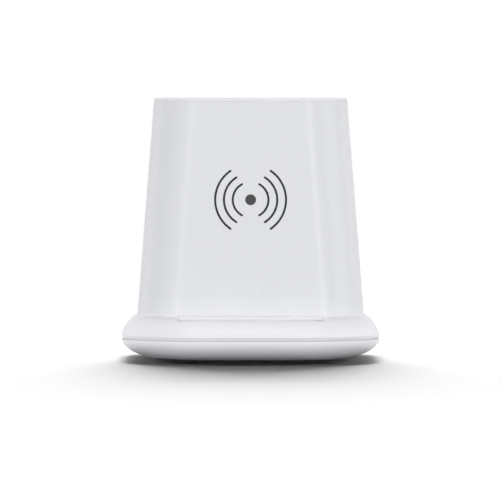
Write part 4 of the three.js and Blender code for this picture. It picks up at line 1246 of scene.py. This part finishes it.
def drawn_steel(name):
    """Deep-drawn stainless steel with a nickel flash: bright, with faint lines along the draw,
    which run from front to rear. The lines are 0.25 mm apart, coarser than the real ones."""
    made, tree, shader, place = new_material(name, {"Metallic": 1.0})
    stretched = add_node(tree, "ShaderNodeMapping", {"Vector": place, "Scale": (4000, 90, 4000)})
    lines = add_node(tree, "ShaderNodeTexNoise", {"Vector": stretched, "Scale": 1.0, "Detail": 2})
    lay_pattern(shader, lines, ("B9BBBF", "A4A6AA"), (0.2, 0.38), (0.3, 0.01))
    return made


painted(socket, drawn_steel("drawn_stainless_steel"))
hand_over(smoothed(socket), "socket_steel", "usb_socket")


def slab(name, place, size, corner=0.1, ease=0.08):
    """A moulded block with round upright corners and eased edges, by the middle of its foot."""
    x, y, z = place
    width, depth, height = size
    levels = [(0, ease), (0.3 * ease, 0.3 * ease), (ease, 0)]
    levels += [(height - up, inset) for up, inset in reversed(levels)]
    rings = []
    for level, inset in levels:
        radius = max(corner, ease + 0.01) - inset
        ring = rounded_ring(width / 2 - inset, inset - depth / 2, depth / 2 - inset, radius, 0, 3)
        rings.append([(x + px, y + py, z + level) for px, py, _ in ring])
    return solid(name, rings)


CONTACTS = 12
CONTACT_PITCH = 0.5
CONTACT_Y = 47.6
CONTACT_OUT = 0.33
tongue_block = slab("contact_tongue", (0, 44.4, SOCKET_Z - 1.03), (5.68, 1.5, 2.06), 0.15)
blade = slab("tongue_blade", (0, 46.85, SOCKET_Z - 0.35), (6.7, 5.8, 0.7), 0.5, 0.1)
carved(tongue_block, "UNION", [blade])
# Heat-proof liquid-crystal polymer, moulded round the contacts: black, with a faint even grain
tongue_plastic = grained("black_tongue_plastic", "222326", "1A1B1D", 0.4, 0.5, 0.01, ior=1.6)
painted(tongue_block, tongue_plastic)

tree, given = new_tree("contact_row", ["Pitch", "Width", "Length", "Thickness"])
pitch = add_node(tree, "ShaderNodeCombineXYZ", (given["Pitch"],))
row = add_node(tree, "GeometryNodeMeshLine", {"Count": CONTACTS, "Offset": pitch}, mode="OFFSET")
size = add_node(
    tree, "ShaderNodeCombineXYZ", (given["Width"], given["Length"], given["Thickness"])
)
contact = add_node(tree, "GeometryNodeMeshCube", {"Size": size})
end_tree(
    tree, given, add_node(tree, "GeometryNodeInstanceOnPoints", {"Points": row, "Instance": contact})
)
# Gold flash over nickel: warm and bright, a little dulled by the strip it was stamped from
gold = grained("gold_flash", "E2BE72", "D3AD60", 0.3, 0.26, 0.005, 1.0)
contact_sizes = {"Width": 0.26 * MM, "Length": 3.4 * MM, "Thickness": 0.08 * MM}
contact_sizes["Pitch"] = CONTACT_PITCH * MM
rows = []
for side in (-1, 1):
    row = make_object("contacts", bpy.data.meshes.new("contacts"))
    grown(row, tree, gold, contact_sizes)
    first_x = -(CONTACTS - 1) / 2 * CONTACT_PITCH
    place = Vector((first_x, CONTACT_Y, SOCKET_Z + side * CONTACT_OUT)) * MM
    row.data.transform(Matrix.Translation(place))
    rows.append(row)
hand_over(joined([tongue_block] + rows), "black_plastic", "usb_contact_tongue")

# COIL CONNECTOR AND PLUG
# A moulded nylon header on the board, open to the front, and the plug on the wires that goes into
# it. Two ribs on the plug keep it the right way up.
CONNECTOR_Y = 12.92
CAVITY_Y = 11.9
PIN_Y = 12.6
PLUG_Y = 7.42
WIRE_XS = (LEAD_X, *COIL_TAIL_XS)
WIRE_HOLE = [(6.2, 0.62), (4.5, 0.62)]
header = slab("connector", (0, CONNECTOR_Y, BOARD_TOP_Z), (7.5, 5, 4.4), 0.3, 0.12)
cavity = slab("cavity", (0, CAVITY_Y, BOARD_TOP_Z + 0.5), (6.3, 4.6, 3.1), 0.2, 0.1)
key = slab("key", (0, CAVITY_Y, BOARD_TOP_Z + 3), (2.2, 4.6, 2), 0.1, 0.05)
carved(header, "DIFFERENCE", [cavity, key])
# Natural nylon: milky and a little yellow, with a waxy sheen
nylon = grained("natural_nylon", "E3DFD0", "D8D3C2", 1.2, 0.42, 0.02, ior=1.53)
pins = [
    painted(slab("pin", (x, PIN_Y, WIRE_Z - 0.25), (0.5, 4.4, 0.5), 0.08, 0.06), tin)
    for x in WIRE_XS
]
hand_over(joined([painted(header, nylon)] + pins), "white_nylon", "coil_connector")
plug = slab("plug", (0, PLUG_Y, BOARD_TOP_Z + 0.6), (6.9, 5.4, 3.4), 0.3, 0.15)
ribs = [
    slab("plug_rib", (x, PLUG_Y, BOARD_TOP_Z + 3.5), (0.6, 5, 0.6), 0.1, 0.08) for x in (-0.9, 0.9)
]
carved(plug, "UNION", ribs)
wire_holes = [lying_rod("wire_hole", x, WIRE_Z, WIRE_HOLE, 20) for x in WIRE_XS]
carved(plug, "DIFFERENCE", wire_holes)
hand_over(smoothed(painted(plug, nylon)), "white_nylon", "coil_plug")

# CAPACITORS THAT TUNE THE COIL
# Four multilayer ceramic capacitors in a row: tan fired bodies with tinned caps on both ends,
# soldered to the board.
CAPACITOR_Y = 19.02
# Barium titanate, pressed in layers and fired: tan and matt, faintly mottled
ceramic = grained("tan_fired_ceramic", "BCA680", "AD966F", 0.8, 0.5, 0.015, ior=1.7)
for number, x in enumerate((-18, -12, 12, 18), 1):
    body = slab("body", (x, CAPACITOR_Y, BOARD_TOP_Z + 0.1), (4.8, 5.3, 2), 0.2, 0.12)
    body.name = f"capacitor_{number}"
    caps = [
        slab("end_cap", (x, CAPACITOR_Y + side * 2.45, BOARD_TOP_Z), (5, 0.8, 2.2), 0.25, 0.2)
        for side in (-1, 1)
    ]
    pieces = [painted(body, ceramic)] + [painted(cap, tin) for cap in caps]
    hand_over(joined(pieces), "ceramic", f"resonant_capacitor_{number}")

# CHIPS
# Two power chips switch the current of the coil, and a flat one between them and the lamp controls
# them. Black filled epoxy is moulded round them; stamped, tinned leads go down to the board.
BRIDGE_Y = 20.32
BRIDGE_DEPTH = 4.2
LEADS_IN_A_ROW = 4
LEAD_PITCH = 1.2
LEAD_WIDTH = 0.42
LEAD_HALF_THICKNESS = 0.06
# How far out from the body and how far above the board a lead runs
LEAD_PATH = [(0, 0.55), (0.35, 0.55), (0.55, 0.15), (1.0, 0.06)]
CONTROLLER_Y = 29.82
LAND_OUT = 2.35
LAND_PITCH = 0.5
# Epoxy filled with ground silica, moulded: black-grey, dull and finely grained
epoxy = grained("black_filled_epoxy", "2B2C2E", "212224", 0.35, 0.55, 0.02, ior=1.55)


def stamped_leads(x):
    """Gull-wing leads in a row on the front and the rear of the power chip at this x."""
    leads = []
    for side in (-1, 1):
        for i in range(LEADS_IN_A_ROW):
            middle = x + (i - (LEADS_IN_A_ROW - 1) / 2) * LEAD_PITCH
            near, far = middle - side * LEAD_WIDTH / 2, middle + side * LEAD_WIDTH / 2
            rings = []
            for out, up in LEAD_PATH:
                y = BRIDGE_Y + side * (BRIDGE_DEPTH / 2 - 0.1 + out)
                low = BOARD_TOP_Z + up - LEAD_HALF_THICKNESS
                high = BOARD_TOP_Z + up + LEAD_HALF_THICKNESS
                rings.append([(near, y, low), (near, y, high), (far, y, high), (far, y, low)])
            leads.append(painted(solid("lead", rings), tin))
    return leads


def marked_chip(name, place, size, corner, ease, mark_place, mark_bottom, mark_radius):
    """A moulded chip with the round dimple that shows where its first lead is."""
    body = slab(name, place, size, corner, ease)
    dimple = post(*mark_place, BOARD_TOP_Z + mark_bottom, 20, mark_radius, 20)
    return painted(carved(body, "DIFFERENCE", [solid("mark", dimple)]), epoxy)


for name, x in (("left", -5.5), ("right", 5.5)):
    place = (x, BRIDGE_Y, BOARD_TOP_Z + 0.12)
    size = (4.9, BRIDGE_DEPTH, 0.98)
    body = marked_chip(f"bridge_{name}", place, size, 0.15, 0.12, (x - 1.7, 21.6), 1.0, 0.35)
    hand_over(joined([body] + stamped_leads(x)), "black_plastic", f"bridge_chip_{name}")
place = (0, CONTROLLER_Y, BOARD_TOP_Z + 0.04)
chip = marked_chip("controller", place, (4.9, 4.9, 0.86), 0.12, 0.06, (-1.8, 31.6), 0.85, 0.3)
lands = []
for i in range(8):
    along = (i - 3.5) * LAND_PITCH
    for side in (-1, 1):
        for place, size in (
            ((along, CONTROLLER_Y + side * LAND_OUT, BOARD_TOP_Z), (0.25, 0.3, 0.2)),
            ((side * LAND_OUT, CONTROLLER_Y + along, BOARD_TOP_Z), (0.3, 0.25, 0.2)),
        ):
            lands.append(painted(slab("land", place, size, 0.05, 0.03), tin))
hand_over(joined([chip] + lands), "black_plastic", "controller_chip")

# POWER INDUCTOR
# A coil pressed into iron powder: a grey block with round corners, and two flat tinned feet that
# wrap its ends.
INDUCTOR_X = -13
INDUCTOR_Y = 31.82
# Iron powder pressed with resin: dark grey, matt and a little rough
powder = grained("pressed_iron_powder", "55565A", "434448", 0.45, 0.75, 0.05, ior=1.9)
inductor_place = (INDUCTOR_X, INDUCTOR_Y, BOARD_TOP_Z + 0.1)
inductor = painted(slab("inductor", inductor_place, (7.8, 7.8, 4.1), 1.6, 0.25), powder)
inductor_feet = []
for side in (-1, 1):
    place = (INDUCTOR_X + side * 3.75, INDUCTOR_Y, BOARD_TOP_Z)
    inductor_feet.append(painted(slab("inductor_foot", place, (0.5, 3, 1.6), 0.1, 0.08), tin))
hand_over(joined([inductor] + inductor_feet), "ferrite", "power_inductor")

# FILTER CAPACITOR
# An aluminium can, drawn and crimped over its black plastic foot, with a dark mark on top for the
# side of its negative lead.
CAN_PLACE = (14, 30.82, BOARD_TOP_Z)
CAN_RADIUS = 3.15
MARK_REACH = 2.4
can_section = [(0, 5), (2.5, 5), (2.9, 4.9), (CAN_RADIUS, 4.6), (CAN_RADIUS, 1.75), (2.95, 1.5)]
can_section += [(2.95, 1.3), (CAN_RADIUS, 1.05), (CAN_RADIUS, 0.6), (0, 0.6)]
can = section_and_places("filter_can", can_section, CAN_RADIUS, [CAN_PLACE])
# Drawn aluminium: pale and softly bright, with the faint cloudiness of its washed skin
aluminium = grained("drawn_aluminium", "D6D8DA", "C6C8CB", 0.6, 0.3, 0.01, 1.0)
grown(can, bpy.data.node_groups["turned_feet"], aluminium, {"Radius": CAN_RADIUS * MM})
can_foot = painted(slab("can_foot", CAN_PLACE, (6.8, 6.8, 0.8), 0.9, 0.1), epoxy)
can_x, can_y, _ = CAN_PLACE
segment = [
    (can_x + MARK_REACH * math.cos(a), can_y + MARK_REACH * math.sin(a))
    for a in (math.radians(120 + 10 * i) for i in range(13))
]
mark_levels = (BOARD_TOP_Z + 4.9, BOARD_TOP_Z + 5.0)
mark = solid("can_mark", [[(x, y, z) for x, y in segment] for z in mark_levels])
hand_over(joined([can, can_foot, painted(mark, epoxy)]), "socket_steel", "filter_capacitor")

# LAMP AND LIGHT PIPE
# A small lamp on the board's rear edge, and a frosted acrylic rod that carries its light out
# through the rear of the base. A flange at the rod's inner end keeps it in its hole.
LAMP_Y = 45.62
PIPE_RADIUS = 1.2
PIPE_REAR = 51.6
lamp_body = slab("lamp_body", (LAMP_X, LAMP_Y, BOARD_TOP_Z), (1.6, 0.9, 1.0), 0.08, 0.05)
lamp_lens = slab("lamp_lens", (LAMP_X, LAMP_Y, BOARD_TOP_Z + 0.95), (1.1, 0.7, 0.25), 0.3, 0.12)


def milky_acrylic(name, roughness):
    """Moulded acrylic, half clear and half milky, so that it takes an even glow from a lamp; a
    fine frost on its faces dulls it."""
    fixed = {"IOR": 1.49, "Transmission Weight": 0.5, "Base Color": hex_to_linear("F1F4F6")}
    made, tree, shader, place = new_material(name, fixed)
    frost = add_node(tree, "ShaderNodeTexNoise", {"Vector": place, "Scale": 3500, "Detail": 3})
    dull = (roughness - 0.1, roughness + 0.1)
    lay_pattern(shader, frost, roughness=dull, relief=(0.2, 0.01))
    return made


acrylic = milky_acrylic("frosted_acrylic", 0.35)
hand_over(
    joined([painted(lamp_body, nylon), painted(lamp_lens, acrylic)]), "white_nylon", "status_led"
)
pipe_profile = [(PIPE_REAR, PIPE_RADIUS - 0.45), (PIPE_REAR - 0.08, PIPE_RADIUS - 0.2)]
pipe_profile += [(PIPE_REAR - 0.25, PIPE_RADIUS - 0.05), (PIPE_REAR - 0.5, PIPE_RADIUS)]
pipe_profile += [(47.22, PIPE_RADIUS), (47.22, 1.45), (47.15, 1.5), (46.5, 1.5), (46.42, 1.42)]
light_pipe = painted(lying_rod("light_pipe", LAMP_X, SOCKET_Z, pipe_profile, 40), acrylic)
hand_over(smoothed(light_pipe), "clear_acrylic", "status_light_pipe")

# STUDIO
# A pale paper floor in a white surround, as in a small photo studio. Soft suns from behind light the
# floor alone and throw the object's shadow forward. Others light the object evenly from its front,
# top and sides, and four soft boxes are seen only as faint reflections in the moulded plastic.
FLOOR_HALF = 1.2
BOX_DISTANCE = 0.65
FULL_WHITE = (1, 1, 1, 1)


def direction(azimuth, elevation):
    """The way to a lamp, in degrees anticlockwise from +X and up from the floor."""
    turn = math.radians(azimuth)
    up = math.radians(elevation)
    return Vector((math.cos(turn) * math.cos(up), math.sin(turn) * math.cos(up), math.sin(up)))


def new_lamp(name, kind, away):
    """Links a lamp into the scene that shines against the way to it."""
    lamp = bpy.data.objects.new(name, bpy.data.lights.new(name, kind))
    lamp.rotation_euler = (-away).to_track_quat("-Z", "Y").to_euler()
    bpy.context.scene.collection.objects.link(lamp)
    return lamp


def new_sun(name, azimuth, elevation, light, spread):
    """A soft sun; light is what a white face square to it would show, where 1 is full white."""
    lamp = new_lamp(name, "SUN", direction(azimuth, elevation))
    lamp.data.energy = light * math.pi
    lamp.data.angle = math.radians(spread)
    return lamp


def new_soft_box(name, azimuth, elevation, width, height, brightness):
    """A rectangular lamp turned to the middle of the tower. It is for its reflection, so its
    brightness is given, where 1 is full white."""
    away = direction(azimuth, elevation)
    lamp = new_lamp(name, "AREA", away)
    lamp.location = away * BOX_DISTANCE + Vector((0, TOWER_FRONT, SYMBOL_Z)) * MM
    lamp.data.shape = "RECTANGLE"
    lamp.data.size = width
    lamp.data.size_y = height
    lamp.data.energy = brightness * math.pi * width * height
    return lamp


floor_mesh = bpy.data.meshes.new("floor")
floor_corners = [(-FLOOR_HALF, -FLOOR_HALF, 0), (FLOOR_HALF, -FLOOR_HALF, 0)]
floor_corners += [(FLOOR_HALF, FLOOR_HALF, 0), (-FLOOR_HALF, FLOOR_HALF, 0)]
floor_mesh.from_pydata(floor_corners, [], [(0, 1, 2, 3)])
floor = make_object("floor", floor_mesh)
# Matt paper, pressed from pulp, faintly mottled: it shows the shadow and no reflection. The light
# that it throws back on the object is held down, or the shadow's core would fill with grey. Its
# back can be seen through, for views from below.
matt = {"Roughness": 1.0, "Specular IOR Level": 0.0}
floor_paint, tree, shader, place = new_material("white_paper", matt)
pulp = add_node(tree, "ShaderNodeTexNoise", {"Vector": place, "Scale": 400, "Detail": 3})
mottled = {"Factor": pulp, 6: hex_to_linear("BEBEBE"), 7: hex_to_linear("BABABA")}
paper = add_node(tree, "ShaderNodeMix", mottled, data_type="RGBA").outputs[2]
rays = add_node(tree, "ShaderNodeLightPath").outputs
held_down = {"Factor": rays["Is Diffuse Ray"], 6: paper, 7: hex_to_linear("6B6B6B")}
shown = add_node(tree, "ShaderNodeMix", held_down, data_type="RGBA").outputs[2]
feed(shader, {"Base Color": shown})
back = add_node(tree, "ShaderNodeNewGeometry").outputs["Backfacing"]
see_through = add_node(tree, "ShaderNodeBsdfTransparent")
two_sided = add_node(tree, "ShaderNodeMixShader", (back, shader, see_through))
output = next(node for node in tree.nodes if node.type == "OUTPUT_MATERIAL")
feed(output, {"Surface": two_sided})
floor_mesh.materials.append(floor_paint)

world = bpy.data.worlds.new("white_surround")
bpy.context.scene.world = world
world.use_nodes = True
tree = world.node_tree
tree.nodes.clear()
rays = add_node(tree, "ShaderNodeLightPath").outputs
seen = add_node(tree, MATH, (rays["Is Camera Ray"], rays["Is Glossy Ray"]), operation="MAXIMUM")
seen = add_node(tree, MATH, (seen, rays["Is Transmission Ray"]), operation="MAXIMUM")
strength = add_node(tree, "ShaderNodeMapRange", {"Value": seen, "To Min": 0.03, "To Max": 1.0})
surround = add_node(tree, "ShaderNodeBackground", {"Color": FULL_WHITE, "Strength": strength})
add_node(tree, "ShaderNodeOutputWorld", {"Surface": surround})


def lit_set(name, pieces, state="INCLUDE"):
    """What a lamp lights: these pieces alone or, with EXCLUDE, all but these."""
    made = bpy.data.collections.new(name)
    for piece in pieces:
        made.objects.link(piece)
    for member in made.collection_objects:
        member.light_linking.link_state = state
    return made


floor_only = lit_set("floor_only", [floor])
all_but_floor = lit_set("all_but_floor", [floor], "EXCLUDE")
upper_pieces = lit_set("upper_pieces", [floor, lower_cover], "EXCLUDE")
for lamp in (
    new_sun("left_floor_sun", 98, 26, 1.0, 30),
    new_sun("right_floor_sun", 82, 26, 1.0, 30),
    new_sun("rear_floor_sun", 90, 48, 1.32, 30),
    new_sun("left_low_floor_sun", 155, 20, 0.24, 20),
    new_sun("right_low_floor_sun", 25, 20, 0.24, 20),
):
    lamp.light_linking.receiver_collection = floor_only
for lamp, lit in (
    (new_sun("front_sun", -90, 6, 0.785, 14), upper_pieces),
    (new_sun("top_sun", -90, 86, 0.34, 60), all_but_floor),
    (new_sun("left_sun", 145, 5, 0.57, 40), all_but_floor),
    (new_sun("right_sun", 35, 5, 0.66, 40), all_but_floor),
):
    lamp.light_linking.receiver_collection = lit
    lamp.light_linking.blocker_collection = all_but_floor
    lamp.visible_glossy = False
# These light one piece each, and nothing throws their light on, so the shadow's core stays dark
for lamp, lit in (
    (new_sun("low_front_sun", -90, 6, 0.785, 14), lower_cover),
    (new_sun("desk_glow", -90, -30, 0.095, 30), lower_cover),
    (new_sun("strip_sun", -90, 90, 0.2, 16), rest_strip),
    (new_sun("cup_sun", -90, 90, 0.22, 16), pen_cup),
):
    lamp.data.cycles.max_bounces = 0
    lamp.light_linking.receiver_collection = lit_set(f"lit_by_{lamp.name}", [lit])
    lamp.light_linking.blocker_collection = all_but_floor
    lamp.visible_glossy = False
for lamp in (
    new_soft_box("brow_box", -93, 47, 0.06, 0.1, 6),
    new_soft_box("left_strip", -106, 16, 0.05, 0.6, 4),
    new_soft_box("right_strip", -74, 16, 0.05, 0.6, 6),
    new_soft_box("right_box", -18, 12, 0.5, 0.6, 1.3),
):
    lamp.light_linking.receiver_collection = all_but_floor
    lamp.visible_diffuse = False

bpy.context.scene.view_settings.view_transform = "Standard"
